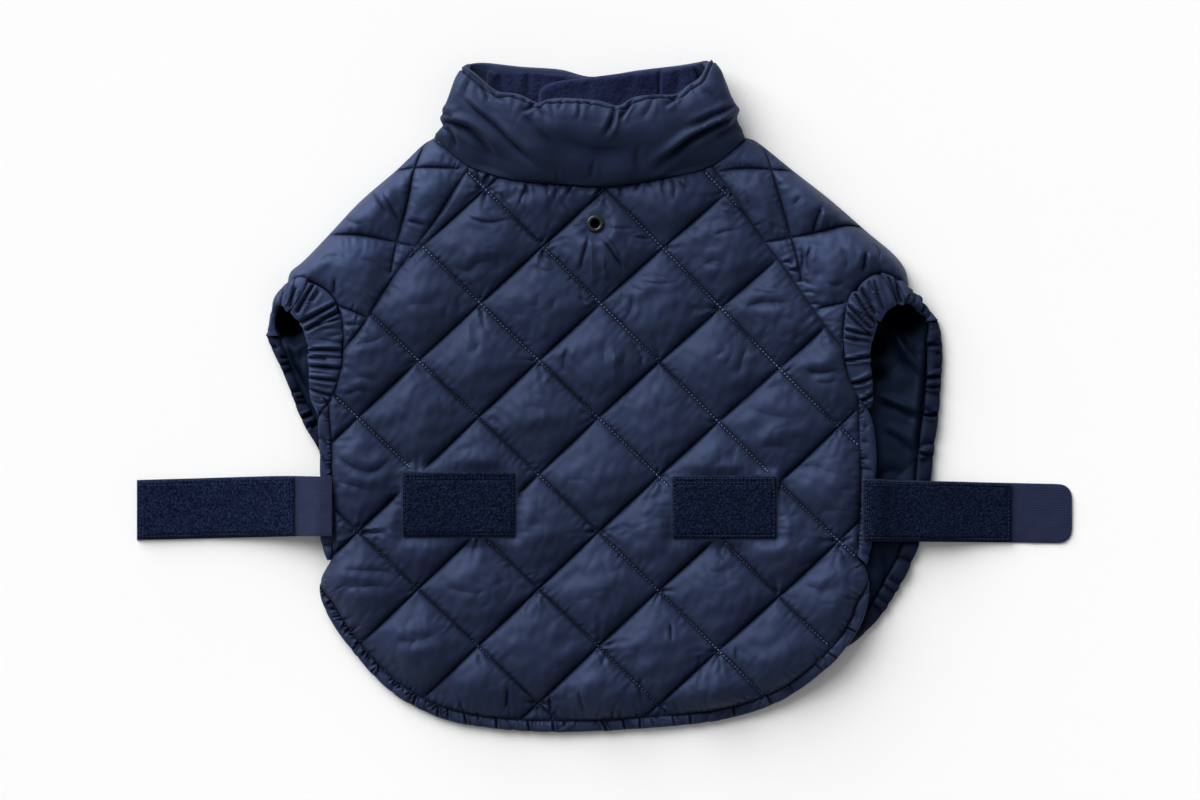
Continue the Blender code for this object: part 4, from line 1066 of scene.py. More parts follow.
def make_shoulder(side):
    """A quilted shoulder that rolls over the fold to the coat's underside; also its stitched lines."""
    fold, raglan, cuff_seam, stitches, shade = SHOULDERS[side]
    if side == "left":
        neck = curve(NECK_SEAM, LINE_STEP, 0, NECK_CORNER_LEFT)
        round_it = (neck, curve(raglan), curve(cuff_seam)[::-1], curve(fold)[::-1])
    else:
        neck = curve(NECK_SEAM, LINE_STEP, NECK_CORNER_RIGHT)
        round_it = (neck, curve(fold), curve(cuff_seam), curve(raglan)[::-1])
    loop = inset(joined(*round_it), SEAM_SHOWS / 2)
    fold_line = curve(fold, 0.004)
    rows = [curve(stitch, LINE_STEP) for stitch in stitches]
    lines = [curve(raglan, 0.004), curve(cuff_seam, 0.004), spaced(neck, 0.004)] + rows
    edge = closed(loop)
    runs = [part for row in rows
            for part in split(row, inside(row, loop) & (distance(row, edge) > SEWN_CLEAR))]
    hand_folds = folds_of(SHOULDER_CREASES[side])
    sewn_edges = [curve(raglan, LINE_STEP), curve(cuff_seam, LINE_STEP)]
    folds = hand_folds + tucks(runs + sewn_edges, 23, SHOULDER_TUCKS)

    def gap(points):
        return functools.reduce(np.minimum, [distance(points, line) for line in lines])

    def roll(points):
        return quarter_round(distance(points, fold_line) / FOLD_RADIUS)

    def detail(points):
        return Field(points).add_lines(lines, 41).rumple(folds, 15, SHOULDER_GATHERS) * roll(points) ** 2

    def under(spots):
        depth = distance(spots, fold_line)
        rolled = FOLD_EDGE * (1 - quarter_round(depth / 0.005))
        return np.where(depth < 0.0095, rolled, back_underside(spots))

    flat, triangles, rims = panel_net(loop, runs, hand_folds, gap, SHOULDER_SPACING)
    puff = np.ones(len(flat))
    for line in lines:
        puff *= cushion(np.sin(math.pi / 2 * np.clip(distance(flat, line) / SHOULDER_PUFF, 0, 1)))
    loft = BACK_LOFT * (1.08 + 0.10 * noise(flat, 0.05, 8))
    full = back_underside(flat) + SEAM_LEVEL + loft * puff
    height = FOLD_EDGE + (full - FOLD_EDGE) * roll(flat)
    growth = Field(flat).add_lines(lines, 41).growth()
    points = relax(np.column_stack([flat, height]), triangles, marked(flat, rims[:1]), growth, 70, 13)
    piece, sewn = sewn_shell("shoulder_quilt_" + side, (points, triangles, rims), runs, under, 0.004,
                             taffeta("navy_shoulder_painted_light_" + side, shade), detail)
    spots = flat_points(piece)
    # Painted shade in the stitched grooves and the folds
    shaded(piece, np.maximum(0.7 * falloff(gap(spots), 0.0009), fold_shade(spots, folds)))
    return piece, sewn


# ---- gathered bands ----

# Rows of a band: its seam edge (across, down, height in mm) and then its free edge
CUFF_LEFT = [
    (320, 414, 12.2, 318.5, 415, 12.2), (325.8, 405.4, 13.2, 315.4, 407.5, 12.8),
    (332, 397, 14.0, 311.3, 398, 13.4), (337.2, 384, 15.8, 309.3, 384, 14.5),
    (341.6, 366, 17.2, 309.6, 366, 16.0), (343.5, 345, 18.0, 307.5, 345, 17.0),
    (342.8, 325, 18.5, 304.5, 330, 17.5), (338, 306, 18.5, 297.5, 321, 17.5),
    (330, 294.5, 18.5, 293.5, 315.5, 17.5), (317.5, 285, 18.2, 289, 311.5, 17.2),
    (304, 279.0, 17.0, 283.5, 306.8, 17.0), (295, 279.6, 13.6, 278.8, 305.0, 15.6),
    (288.6, 284.6, 8.6, 275.3, 306.5, 13.2), (285.5, 294, 5.0, 272.6, 312.5, 10.0),
    (286, 306, 4.2, 270.6, 321, 6.6), (285.5, 320, 4.0, 268.2, 329.0, 4.6),
    (283, 335.2, 4.2, 265.9, 336.2, 3.8),
]
CUFF_RIGHT = [
    (867.5, 407.5, 12.0, 870, 408, 12.0), (861, 402, 13.0, 872, 403.5, 12.6),
    (853, 390, 14.4, 872.5, 393, 13.5), (846.5, 371, 16.5, 871.3, 376, 15.0),
    (843.2, 350, 17.5, 870, 354, 16.5), (844, 325, 18.5, 874, 332, 17.0),
    (848.5, 300, 18.5, 880.3, 319, 17.5), (857.2, 287, 18.5, 886.5, 310.5, 17.5),
    (868, 278.5, 18.2, 894, 306.2, 17.5), (880, 273.8, 17.5, 902, 304.8, 16.5),
    (894, 279.4, 14.2, 909, 304.3, 14.6), (908.6, 289.4, 7.6, 916.5, 308, 10.6),
    (918, 299, 4.8, 921, 314, 7.2), (927.5, 308, 4.0, 925.5, 317.5, 5.0),
    (936.6, 319.4, 3.8, 926.0, 321.4, 4.2),
]
BELLY_BAND_LEFT = [
    (282, 334.4, 3.0, 266.4, 335.4, 3.0), (281, 343.5, 3.6, 269.6, 343.5, 4.2),
    (285.2, 353.3, 3.6, 273.8, 352, 4.4), (291.5, 370, 3.5, 281, 367.5, 4.4),
    (298.8, 386.7, 3.5, 288, 384.5, 4.4), (304, 397, 3.5, 293, 397.5, 4.2),
    (311, 410, 3.4, 298.5, 413, 3.8), (317.5, 424, 3.0, 307, 429.5, 3.0),
    (321.5, 438, 2.8, 314.5, 441.5, 2.8), (322.5, 450, 2.8, 319, 450, 2.8),
]
# Where the left cuff's inside shows: it gets the dark lining, which is painted with shade there
CUFF_INSIDE_LEFT = [
    (282, 306), (277.5, 311), (275.5, 317), (274.8, 325), (275.5, 331), (279, 336), (300, 340), (300, 300),
]
BAND_CREASES = [
    ((297, 418, 305, 417, 315, 414), 1.0, 3.2), ((306, 428, 313, 424), 1.0, 1.6),
    ((924, 347, 932, 345, 941, 346), 1.0, 2.4), ((922, 378, 932, 378, 942, 376), 1.0, 2.6),
    ((923, 387, 932, 388, 941, 385), 1.0, 2.2), ((920, 414, 930, 416, 941, 413), 0.9, 3.6),
    ((916, 452, 926, 455, 935, 452), 1.0, 2.4),
]
HEM_CREASES = [
    ((497, 713, 496.5, 721, 497, 731), 0.6, 2.0), ((527, 714, 528, 722, 530, 733), 0.6, 1.8),
    ((552, 714, 553, 722, 554, 733), 0.6, 2.0), ((564, 715, 564.5, 722, 565, 727), 0.6, 1.2),
    ((598, 714, 602, 721, 609, 733), 0.6, 2.2), ((621, 714, 623.5, 722, 626, 732), 0.6, 2.2),
    ((640, 713, 640, 721, 640, 731), 0.6, 2.0), ((651, 718, 655, 726), 0.7, 1.0),
    ((672, 711, 673, 717, 676, 728), 0.6, 1.4), ((689, 708, 690, 714, 691, 724), 0.6, 1.5),
    ((731, 700, 733, 706, 735, 716), 0.6, 1.6), ((764, 690, 769, 698, 774, 708), 0.6, 2.2),
    ((786, 680, 791, 687, 797, 695), 0.6, 1.2), ((822, 648, 829, 653, 838, 659), 0.6, 1.8),
    ((812, 660, 819, 667, 825, 672), 0.6, 1.4), ((840, 625, 848, 628, 858, 633), 0.6, 1.5),
    ((463, 708, 465, 716, 467, 728), 0.6, 1.6), ((478, 711, 479, 720), 0.6, 1.2),
    ((417, 694, 414, 702, 412, 708), 0.6, 1.8), ((440, 702, 438, 712, 438, 720), 0.6, 1.5),
    ((376, 668, 371, 672, 365, 677), 0.6, 1.4), ((357, 645, 352, 650, 347, 654), 0.6, 1.6),
]
CUFF_PLEATS = [
    ((298, 287, 294, 297, 291, 309), 1.0, 2.2), ((286, 292, 283, 300, 281, 309), 0.9, 1.8),
    ((316, 283, 307, 298, 297, 315), 1.0, 2.8, 0.3), ((321, 291, 311, 303), 1.2, 1.2),
    ((341, 302, 321, 313, 299, 325), 1.1, 3.0, 0.3), ((345, 311, 328, 318, 304, 332), 1.0, 2.4),
    ((343, 318, 330, 322, 315, 326), 0.9, 1.5), ((344, 334, 328, 337), 1.3, 0.9),
    ((306, 351, 326, 350, 347, 351), 1.0, 2.4), ((307, 358, 318, 358, 329, 359), 0.9, 1.7),
    ((306, 366, 324, 367, 345, 369), 1.0, 2.5), ((305, 377, 322, 379, 341, 381), 1.0, 2.6),
    ((306, 387, 320, 392, 337, 397), 1.0, 2.4), ((324, 396, 332, 406), 1.0, 1.8),
    ((896, 268, 894, 278, 896, 291, 901, 306), 1.3, 3.8), ((886, 277, 891, 290, 897, 305), 1.0, 2.2),
    ((873, 279, 877, 296, 884, 313), 1.0, 1.6), ((860, 287, 867, 301, 875, 316), 1.0, 2.6, -0.3),
    ((853, 292, 864, 310, 876, 327), 1.0, 2.8, -0.3), ((846, 304, 859, 318, 872, 331), 1.0, 2.6),
    ((845, 312, 858, 325, 873, 338), 1.0, 2.2), ((843, 329, 857, 333, 871, 336), 1.0, 2.4),
    ((842, 338, 857, 340, 870, 341), 1.0, 1.6), ((841, 361, 856, 359, 871, 357), 1.0, 2.6),
    ((850, 384, 862, 381, 874, 376), 1.1, 3.2), ((857, 402, 866, 398, 874, 394), 1.0, 3.0),
    ((918, 295, 920, 303, 922, 314), 1.1, 3.2), ((906, 296, 904, 308), 0.9, 1.8),
    ((868, 281, 872, 292), 1.2, 1.2), ((911, 291, 912, 305), 0.9, 1.6),
]


def pleats(along, across, pitch, seed):
    """Folds of a gathered band, from 0 in a crease to about 1 on a fold, and its creases from 0 to 1."""
    random = np.random.default_rng(seed)
    count = int(3 * float(along.max()) / pitch) + 16
    gaps = pitch * np.clip(random.lognormal(0, PLEAT_SPREAD, count), 0.4, 2.6)
    marks = np.cumsum(gaps) - 4 * pitch
    wander = noise(np.column_stack([along, across * 2.2 * pitch]), 4.5 * pitch, seed + 1)
    slant = (across - 0.5) * noise(np.column_stack([along, 0 * along]), 9 * pitch, seed + 2)
    phase = np.interp(along + (0.22 * wander + 0.5 * slant) * pitch, marks, np.arange(count))
    fold = np.floor(phase).astype(int)
    share = phase - fold
    tall = np.clip((gaps / pitch) ** 0.5, 0.5, 1.3) * random.uniform(0.8, 1.1, count)
    start, end = random.uniform(-0.9, 0.4, count + 1), random.uniform(0.6, 1.9, count + 1)
    width = 0.22 * np.minimum(1, pitch / gaps)[fold]
    closing = []
    for mark, far in ((fold, share / width), (fold + 1, (1 - share) / width)):
        shown = ease((across - start[mark]) / 0.25) * ease((end[mark] - across) / 0.25)
        closing.append(shown * np.exp(-far ** 1.3))
    closed_up = np.clip(closing[0] + closing[1], 0, 1)
    return tall[fold] * (1 - closed_up), closed_up


def edges_from_rows(rows, segments):
    """Both edges of a band, in metres, from its rows."""
    columns = smooth(rows, segments)
    return [np.column_stack([place(columns[:, k:k + 2]), columns[:, k + 2] / 1000]) for k in (0, 3)]


def gathered_band(name, edges, look, pitch, depth, seed, around=30, table=(), ticks=()):
    """A padded band between two edges, gathered along its length, as a closed tube with capped ends."""
    seam, free = edges
    middle = (seam + free) / 2
    across = free - seam
    normal = facing_up(np.cross(np.gradient(middle, axis=0), across), len(middle) // 3)
    turn = np.linspace(0, 2 * math.pi, around, endpoint=False)
    share = 0.5 - 0.5 * np.sign(np.cos(turn)) * np.abs(np.cos(turn)) ** 0.8
    side = np.sign(np.sin(turn)) * np.abs(np.sin(turn)) ** 0.75
    grid_along, grid_share = np.meshgrid(travel(middle), share, indexing="ij")
    folds, closed_up = (layer.reshape(grid_along.shape)
                        for layer in pleats(grid_along.ravel(), grid_share.ravel(), pitch, seed))
    upper = np.clip(side, 0, 1)[None, :] ** 0.6
    swell = 0.5 + (grid_share - 0.5) * (1 + 0.12 * (folds - 0.8))
    points = seam[:, None, :] + across[:, None, :] * swell[:, :, None]
    thick = BAND_WALL * quarter_round(np.linalg.norm(across, axis=1) / 0.008)
    rise = thick[:, None] / 2 * side[None, :] + depth * (folds - 0.85) * upper
    flat = points[:, :, :2].reshape(-1, 2)
    drawn = folds_of(table, BAND_ENDS) + list(ticks)
    rise += creases(flat, drawn).reshape(rise.shape) * upper
    # Painted shade in the band's folds and in its closed pleats
    shade = np.maximum(fold_shade(flat, drawn), min(1, depth / 0.002) * closed_up.ravel() ** 1.5)
    points += normal[:, None, :] * rise[:, :, None]
    points[:, :, 2] = np.maximum(points[:, :, 2], OFF_TABLE)
    # The middles of the end caps get full painted shade
    return shaded(skin(name, points, look, 50), np.concatenate([shade, [1, 1]]))


def facing_up(normal, index):
    """Unit normals of a surface, turned so that the one at an index looks up."""
    normal = unit(normal)
    return -normal if normal[index][2] < 0 else normal


def skin(name, points, look, angle, ring=False):
    """A closed mesh from rows of points: a tube with a fan over each end, or a ring that meets itself."""
    count, around, _ = points.shape
    index = np.arange(count * around).reshape(count, around)
    a = index if ring else index[:-1]
    b = np.roll(index, -1, axis=0)[:len(a)]
    quads = np.stack([a, np.roll(a, -1, axis=1), np.roll(b, -1, axis=1), b], axis=2).reshape(-1, 4)
    corners = points.reshape(-1, 3)
    triangles = [quads[:, [0, 1, 2]], quads[:, [0, 2, 3]]]
    if not ring:
        first, last = (np.full(around, count * around + k) for k in (0, 1))
        triangles.append(np.stack([index[0], first, np.roll(index[0], -1)], axis=1))
        triangles.append(np.stack([np.roll(index[-1], -1), last, index[-1]], axis=1))
        corners = np.vstack([corners, points[[0, -1]].mean(axis=1)])
    triangles = np.concatenate(triangles)
    a, b, c = (corners[triangles[:, k]] for k in range(3))
    if np.sum(a * np.cross(b, c)) < 0:
        triangles = triangles[:, ::-1]
    return mesh_object(name, corners, triangles, look, angle)


def hem_ticks(seam):
    """Short gathers at the hem's stitched line: close together on the coat's left, and few elsewhere."""
    left = seam[seam[:, 0] < spot(HEM_TICKS_TO)[0]]
    return tucks([left[::5]], 73, HEM_TICKS_LEFT) + tucks([seam[::5]], 74, HEM_TICKS)


def belly_band_width(outer):
    """The binding starts narrow at the leg opening's corner."""
    travelled = np.linspace(0, 1, len(outer)) * length_of(outer)
    return BELLY_BAND_WIDTH * (0.66 + 0.34 * ease(travelled / 0.014))[:, None]


def lined(piece, outline, top, look):
    """Gives the faces that look up inside an outline and below a height the cloth of the inside."""
    mesh = piece.data
    mesh.materials.append(look)
    middles = np.empty(3 * len(mesh.polygons))
    mesh.polygons.foreach_get("center", middles)
    middles = middles.reshape(-1, 3)
    inner = inside(middles[:, :2], outline[:-1]) & (middles[:, 2] < top)
    mesh.polygons.foreach_set("material_index", inner.astype(np.int32))


def level_edges(seam, edge, rise):
    """Both edges of a band, at the same heights."""
    return np.hstack([seam, rise]), np.hstack([edge, rise])


def make_bands(look, belly_look, lining):
    """The gathered cuffs and bindings, by node."""
    pieces = {}
    # Each cuff gets its own copy of the cloth: the left one painted lighter, as painted light
    for side, rows, seed, shade in (("left", CUFF_LEFT, 51, 1.25), ("right", CUFF_RIGHT, 55, 1.0)):
        pieces["cuff_" + side] = gathered_band("cuff_gathers_" + side, edges_from_rows(rows, 360),
                                               taffeta("navy_cuff_" + side, shade), 0.0065, 0.0010, seed, 44,
                                               CUFF_PLEATS)
    # The left cuff's inside takes the dark lining with its painted shade, for the shade inside the cuff tube
    lined(pieces["cuff_left"], closed(place(CUFF_INSIDE_LEFT)), 0.0105, lining)
    pieces["belly_band_left"] = gathered_band("belly_binding_left", edges_from_rows(BELLY_BAND_LEFT, 160),
                                              belly_look, 0.0055, 0.0030, 61, table=BAND_CREASES)
    outer = curve(BELLY_EDGE, 0.0009)
    inner = outer - sideways(outer) * belly_band_width(outer)
    height = np.full((len(outer), 1), BAND_WALL / 2)
    edges = (np.hstack([inner, height + BAND_ROLL]), np.hstack([outer, height]))
    pieces["belly_band_right"] = gathered_band("belly_binding_right", edges, belly_look, 0.0085, 0.0019, 65,
                                               22, BAND_CREASES)
    outer, inner, from_end = hem_lines(0.0005)
    bound = from_end > HEM_PLAIN + 0.15 * HEM_TAPER
    outer, inner = outer[bound], inner[bound]
    rest = back_underside((outer + inner) / 2)[:, None] + BAND_WALL / 2
    pieces["hem_band"] = gathered_band("hem_binding", level_edges(inner, outer, rest), look, 0.0110, 0.0008,
                                       71, 26, HEM_CREASES, hem_ticks(inner))
    for side, seam_table, edge_table, seed in (("left", SIDE_SEAM_LEFT, SIDE_EDGE_LEFT, 81),
                                               ("right", SIDE_SEAM_RIGHT, SIDE_EDGE_RIGHT, 85)):
        seam, edge = (resample(curve(table), 200)[2:-2] for table in (seam_table, edge_table))
        rest = back_underside((seam + edge) / 2)[:, None] + BAND_WALL / 2 + 0.0003
        pieces["side_band_" + side] = gathered_band("side_strip_" + side, level_edges(seam, edge, rest), look,
                                                    0.0090, 0.0014, seed,
                                                    ticks=tucks([seam[::5]], seed + 1, SIDE_TICKS))
    return pieces


# ---- the collar ----

COLLAR_LIP = [
    (464, 65.5), (478, 76), (497, 92), (515, 94), (528, 99), (538, 104), (549, 100), (570, 99), (600, 102),
    (618, 106.5), (634, 98), (655, 95.5), (676, 95), (687, 86), (700, 78), (708, 60.5),
]
COLLAR_BACK = [
    (464, 65.5), (483, 62.5), (520, 66.5), (560, 69.5), (593, 77), (640, 70), (680, 65), (708, 60.5),
]
COLLAR_LEFT = [(434, 138.5), (444, 127.5), (442, 120), (446, 107), (455, 80), (464, 65.5)]
COLLAR_RIGHT = [(745, 138), (737, 119.5), (739, 111), (732, 99), (722, 75), (708, 60.5)]
COLLAR_HEIGHT = [                # (share of the way from neck seam to rim, height of the upper sheet in mm)
    (0.00, 14.5), (0.12, 19.5), (0.30, 25.5), (0.50, 31.0), (0.68, 33.5), (0.84, 32.6), (1.00, 28.5),
]
COLLAR_WALL_NECK = 0.0055
COLLAR_WALL_RIM = 0.0070
LIP_STITCH = 0.0016              # stitched line below the lip's turn
RIM_START = 0.965                # share of the collar's height at which its rim turns in
RIM_BULGE = 0.0018
LIP_GROOVE = 0.0011
COLLAR_CREASES = [
    ((436, 120, 446, 123, 457, 127, 469, 133, 480, 143, 488, 153, 498, 168), 2.4, 4.2, 0.7),
    ((443, 127, 451, 133, 455, 142, 457, 152), 1.4, 1.8), ((440, 116, 448, 115, 457, 119), 1.6, 1.6),
    ((456, 92, 466, 103, 479, 115, 493, 127, 509, 142, 528, 158, 552, 174), 1.6, 2.1, 0.8),
    ((521, 112, 534, 127, 547, 140, 562, 150), 3.2, 1.5, 0.3),
    ((747, 111, 735, 118, 716, 128, 697, 138.5, 681, 149, 666, 161, 648, 176), 2.0, 4.6, -0.7),
    ((740, 103, 722, 113, 704, 122, 682, 134), 1.6, 1.9, -0.5), ((743, 118, 728, 131, 712, 143), 2.2, 1.5),
    ((615, 102, 614, 116, 608, 131, 602, 141), 1.4, 2.2, 0.4), ((633, 99, 623, 114, 618, 126), 1.2, 1.9),
    ((680, 92, 672, 101, 662, 109), 1.3, 1.5), ((538, 101, 530, 109, 520, 114), 1.2, 1.5),
    ((538, 101, 541, 112, 549, 122), 1.2, 1.3), ((481, 84, 487, 94, 490, 104), 1.2, 1.6),
    ((486, 86, 497, 97, 512, 104), 1.1, 1.4), ((563, 98, 560, 112), 1.0, 0.8),
    ((579, 97, 580, 113, 577, 124), 1.1, 0.9), ((590, 99, 591, 112), 1.0, 0.7),
    ((655, 94, 650, 108, 641, 122), 1.6, 0.9), ((556, 140, 600, 152, 640, 149), 5.0, 1.3),
    ((500, 121, 520, 140, 545, 156), 2.2, -0.8), ((640, 143, 637, 161, 640, 178), 1.8, 0.9),
    ((594, 160, 590, 182), 1.3, 0.8), ((556, 172, 559, 187), 1.0, 0.8),
    ((700, 90, 712, 96, 722, 108), 2.4, 1.0), ((473, 78, 466, 90, 464, 104), 2.0, 0.9),
]


@functools.cache
def collar_curves():
    """The lines between which the collar's sheet is drawn, by name."""
    seam_gap = np.array([0, SEAM_GAP])
    return {"neck": resample(curve(NECK_SEAM) + seam_gap, 160),
            "neck_under": resample(curve(NECK_UNDER) + seam_gap, 160),
            "lip": resample(curve(COLLAR_LIP, 0.0005), 320),
            "back": resample(curve(COLLAR_BACK, 0.001), 160),
            "left": resample(curve(COLLAR_LEFT, 0.001), 60),
            "right": resample(curve(COLLAR_RIGHT, 0.001), 60)}


def read(line, share):
    """Points of a line at shares of its length."""
    spot = np.clip(share, 0, 1) * (len(line) - 1)
    return np.stack([np.interp(spot, np.arange(len(line)), line[:, k]) for k in range(2)], axis=-1)


def collar_surface(turn, along, outer):
    """Points of the collar's sheet: turn runs round it, along from the neck seam (0) to the rim (1)."""
    lines = collar_curves()
    front = np.sin(turn) >= 0
    lean = np.abs(np.sin(turn))
    share = 0.5 - 0.5 * np.cos(turn) * np.where(outer, 1.0, 0.93)
    profile = smooth(COLLAR_HEIGHT, 60)
    height = np.interp(along, profile[:, 0], profile[:, 1]) / 1000
    wall = COLLAR_WALL_NECK + (COLLAR_WALL_RIM - COLLAR_WALL_NECK) * along
    half = np.where(outer, height / 2, height / 2 - wall)
    lower = half * np.minimum(1, 1.5 * lean ** 0.7)
    z = np.where(front, height / 2 + half * lean ** 0.55, height / 2 - lower)
    rise = along[..., None]
    neck, rim = (np.where(front[..., None], read(lines[upper], share), read(lines[lower], share))
                 for upper, lower in (("neck", "neck_under"), ("lip", "back")))
    plan = neck * (1 - rise) + rim * rise
    for edge, corner, weight in (("left", 0, 1 - share), ("right", -1, share)):
        straight = lines["neck"][corner] * (1 - rise) + lines["lip"][corner] * rise
        plan = plan + (read(lines[edge], along) - straight) * weight[..., None]
    return np.concatenate([plan, z[..., None]], axis=-1)


def make_collar(look):
    """The padded funnel: outside, rounded rim and inside as one closed sheet."""
    turns = np.concatenate([np.linspace(0, math.pi, 340, endpoint=False),
                            np.linspace(math.pi, 2 * math.pi, 110, endpoint=False)])
    up = np.linspace(0, RIM_START, 64)
    down = np.linspace(RIM_START, 0, 18)
    lip = len(up)
    turn, level = np.meshgrid(turns, np.concatenate([up, down]), indexing="ij")
    outer = np.arange(lip + len(down)) < lip
    points = collar_surface(turn, level, np.broadcast_to(outer, turn.shape))
    rise = unit(points[:, lip - 1] - points[:, lip - 4])
    rim = []
    for swing in np.linspace(0, math.pi, 9)[1:-1]:
        share = 0.5 - 0.5 * math.cos(swing)
        chord = points[:, lip - 1] * (1 - share) + points[:, lip] * share
        rim.append(chord + rise * RIM_BULGE * math.sin(swing))
    points = np.concatenate([points[:, :lip], np.stack(rim, axis=1), points[:, lip:]], axis=1)
    shape = points.shape[:2]
    flat = points[:, :, :2].reshape(-1, 2)
    from_lip = np.linalg.norm(np.diff(points[:, :lip], axis=1), axis=2)[:, ::-1].cumsum(axis=1)[:, ::-1]
    from_lip = np.concatenate([from_lip, np.zeros((shape[0], shape[1] - lip + 1))], axis=1)
    from_stitches = np.abs(from_lip - LIP_STITCH)
    normal = unit(np.cross(np.gradient(points, axis=0), np.gradient(points, axis=1)))
    if normal[len(turns) // 3, lip // 2, 2] < 0:
        normal = -normal
    outside = np.broadcast_to(np.arange(shape[1]) < lip, shape)
    showing = ease(np.sin(np.clip(turns, 0, math.pi)) / 0.08)[:, None] * outside
    swell = 0.0006 * noise(flat, 0.022, 91) + 0.0010 * noise(flat, 0.06, 92)
    reach = nearest(flat, curve(COLLAR_LIP, 0.003))[2]
    folds = folds_of(COLLAR_CREASES)
    shift = creases(flat, folds) + swell + 0.0005 * puckers(reach, from_stitches.reshape(-1), 93, 0.0060)
    shift = shift.reshape(shape) * showing - LIP_GROOVE * falloff(from_stitches, 0.0006) * outside
    shift[:, :lip] *= ease(np.linalg.norm(points[:, :lip] - points[:, :1], axis=2) / 0.004)
    points = points + normal * shift[:, :, None]
    points[:, :, 2] = np.maximum(points[:, :, 2], OFF_TABLE)
    # Painted shade in the groove below the lip and in the folds
    groove = 0.7 * falloff(from_stitches, 0.0007) * outside
    shade = np.maximum(fold_shade(flat, folds) * 0.8, groove.ravel())
    return shaded(skin("collar_funnel", points, look, 60, True), shade)


# ---- fleece, lining, straps and pads ----

FLEECE_WALL = 0.0023
FLAP_WALL = 0.0046
FLEECE_LINING = [
    (487, 71), (520, 72), (560, 74.5), (600, 79), (648, 73), (680, 69), (694, 66), (699, 90), (690, 112),
    (648, 134), (489, 134),
]
FLEECE_FLAP = [
    (539, 134), (538.5, 98), (540, 90.5), (546, 85.5), (560, 81.5), (593, 77.5), (640, 71.5), (660, 69),
    (660, 134),
]
FLEECE_LEVEL_FROM = 657          # beyond the flap the lining is as high as the flap is
BELLY_NECK = [(458, 151), (722, 150)]
BELLY_SEEN = [(283, 335), (926, 620)]
FLEECE_CREASES = [
    ((500, 68, 501, 84, 504, 98), 2.0, 1.2), ((528, 70, 528, 84, 530, 100), 2.0, 1.6),
    ((590, 76, 588, 92, 592, 106), 2.6, 1.0), ((676, 64, 678, 80, 676, 98), 2.4, 1.5),
    ((630, 74, 632, 92), 3.0, 0.8),
]
LINING_CREASES = [
    ((880, 312, 890, 334, 901, 355, 913, 372, 927, 384), 1.7, 3.2, 0.8),
    ((894, 312, 900, 332, 909, 348, 924, 362), 1.2, 2.0, 0.8),
    ((888, 318, 897, 340, 908, 356, 924, 374), 1.8, -1.6),
    ((872, 398, 888, 405, 904, 412, 924, 422), 1.7, 3.2, 0.8),
    ((880, 428, 900, 440, 918, 456), 2.0, 2.2, 0.5), ((874, 366, 886, 378, 893, 395), 3.2, 1.0),
    ((283, 342, 290, 357, 297, 373, 305, 389, 313, 405), 0.9, -2.4),
    ((286, 341, 293, 356, 300, 372, 308, 388, 315, 402), 0.9, 1.8),
    ((296, 350, 303, 346, 309, 338), 2.4, -1.2),
    ((927, 326, 926, 350, 925, 375, 922, 400, 920, 425, 916, 455, 914, 480), 1.4, 2.0),
    ((289, 345, 293, 362, 297, 384), 2.2, 1.4), ((303, 343, 300, 366, 304, 398), 2.0, 1.0),
    ((285, 338, 297, 344, 309, 340), 2.0, 1.3), ((878, 545, 886, 565, 880, 590), 3.0, 1.3),
    ((872, 480, 890, 470, 912, 476), 3.0, 1.2),
]
WEBBING_WALL = 0.0014
PATCH_WALL = 0.0020
PATCH_LEFT_REACH = (137.8, 294.5)
PATCH_RIGHT_REACH = (863, 1011)
PATCH_MARGIN = 1.2
# Along the edge towards the collar, along the other and at both ends: flat borders and stitched lines
PATCH_BORDERS = (0.0020, 0.0020, 0.0020)
PATCH_STITCHES = (0.0014, 0.0014, 0.0014)
PAD_BORDERS = (0.0046, 0.0022, 0.0016)
PAD_STITCHES = (0.0013, 0.0012, 0.0010)
PAD_SECOND_ROW = (0.0038, 0.0012, 0.0010)
BORDER_SUNK = 0.0007
# Straps: (across, edge towards the collar, edge towards the hem, height of the underside in mm)
STRAP_LEFT = [
    (332.5, 476.5, 535.5, 16.0), (326, 476.3, 535.6, 15.8), (318, 476.2, 535.8, 14.6),
    (306, 476, 535.9, 11.0), (292, 475.8, 536.2, 7.2), (272, 476, 536.8, 3.8), (248, 476.7, 537.4, 1.6),
    (222, 477.5, 538, 0.4), (200, 478.2, 538.5, 0.0), (170, 479, 539.3, 0.0), (137, 480, 540, 0.0),
]
STRAP_RIGHT = [
    (862, 479, 541, 16.0), (872, 479, 541, 15.9), (881, 479.2, 541, 14.4), (890, 479.6, 541.1, 11.6),
    (902, 480.1, 541.3, 8.9), (915, 480.5, 541.5, 7.4), (930, 480.9, 541.6, 6.7), (944, 481.2, 541.8, 5.6),
    (960, 481.6, 542, 3.6), (980, 482.2, 542.2, 1.5), (1000, 482.7, 542.4, 0.4), (1015, 483, 542.5, 0.0),
    (1040, 483.6, 542.8, 0.0), (1057, 484, 543, 0.0), (1064, 485.2, 541.8, 0.0), (1068, 488, 539, 0.0),
    (1070.7, 492, 535, 0.0), (1071.8, 497, 530, 0.0),
]


def nap(count, depth, seed):
    """Uneven height of a fuzzy surface, point by point."""
    random = np.random.default_rng(seed)
    return depth * (random.random(count) ** 1.4 - 0.5)


def inside_height(points):
    """Height of the collar's inside, on its far wall."""
    turns, levels = np.linspace(math.pi, 2 * math.pi, 160), np.linspace(0, RIM_START, 40)
    turn, level = np.meshgrid(turns, levels, indexing="ij")
    wall = collar_surface(turn, level, np.zeros(turn.shape, bool)).reshape(-1, 3)
    tree = flat_tree(wall)
    return np.array([wall[tree.find((x, y, 0))[1], 2] for x, y in points])


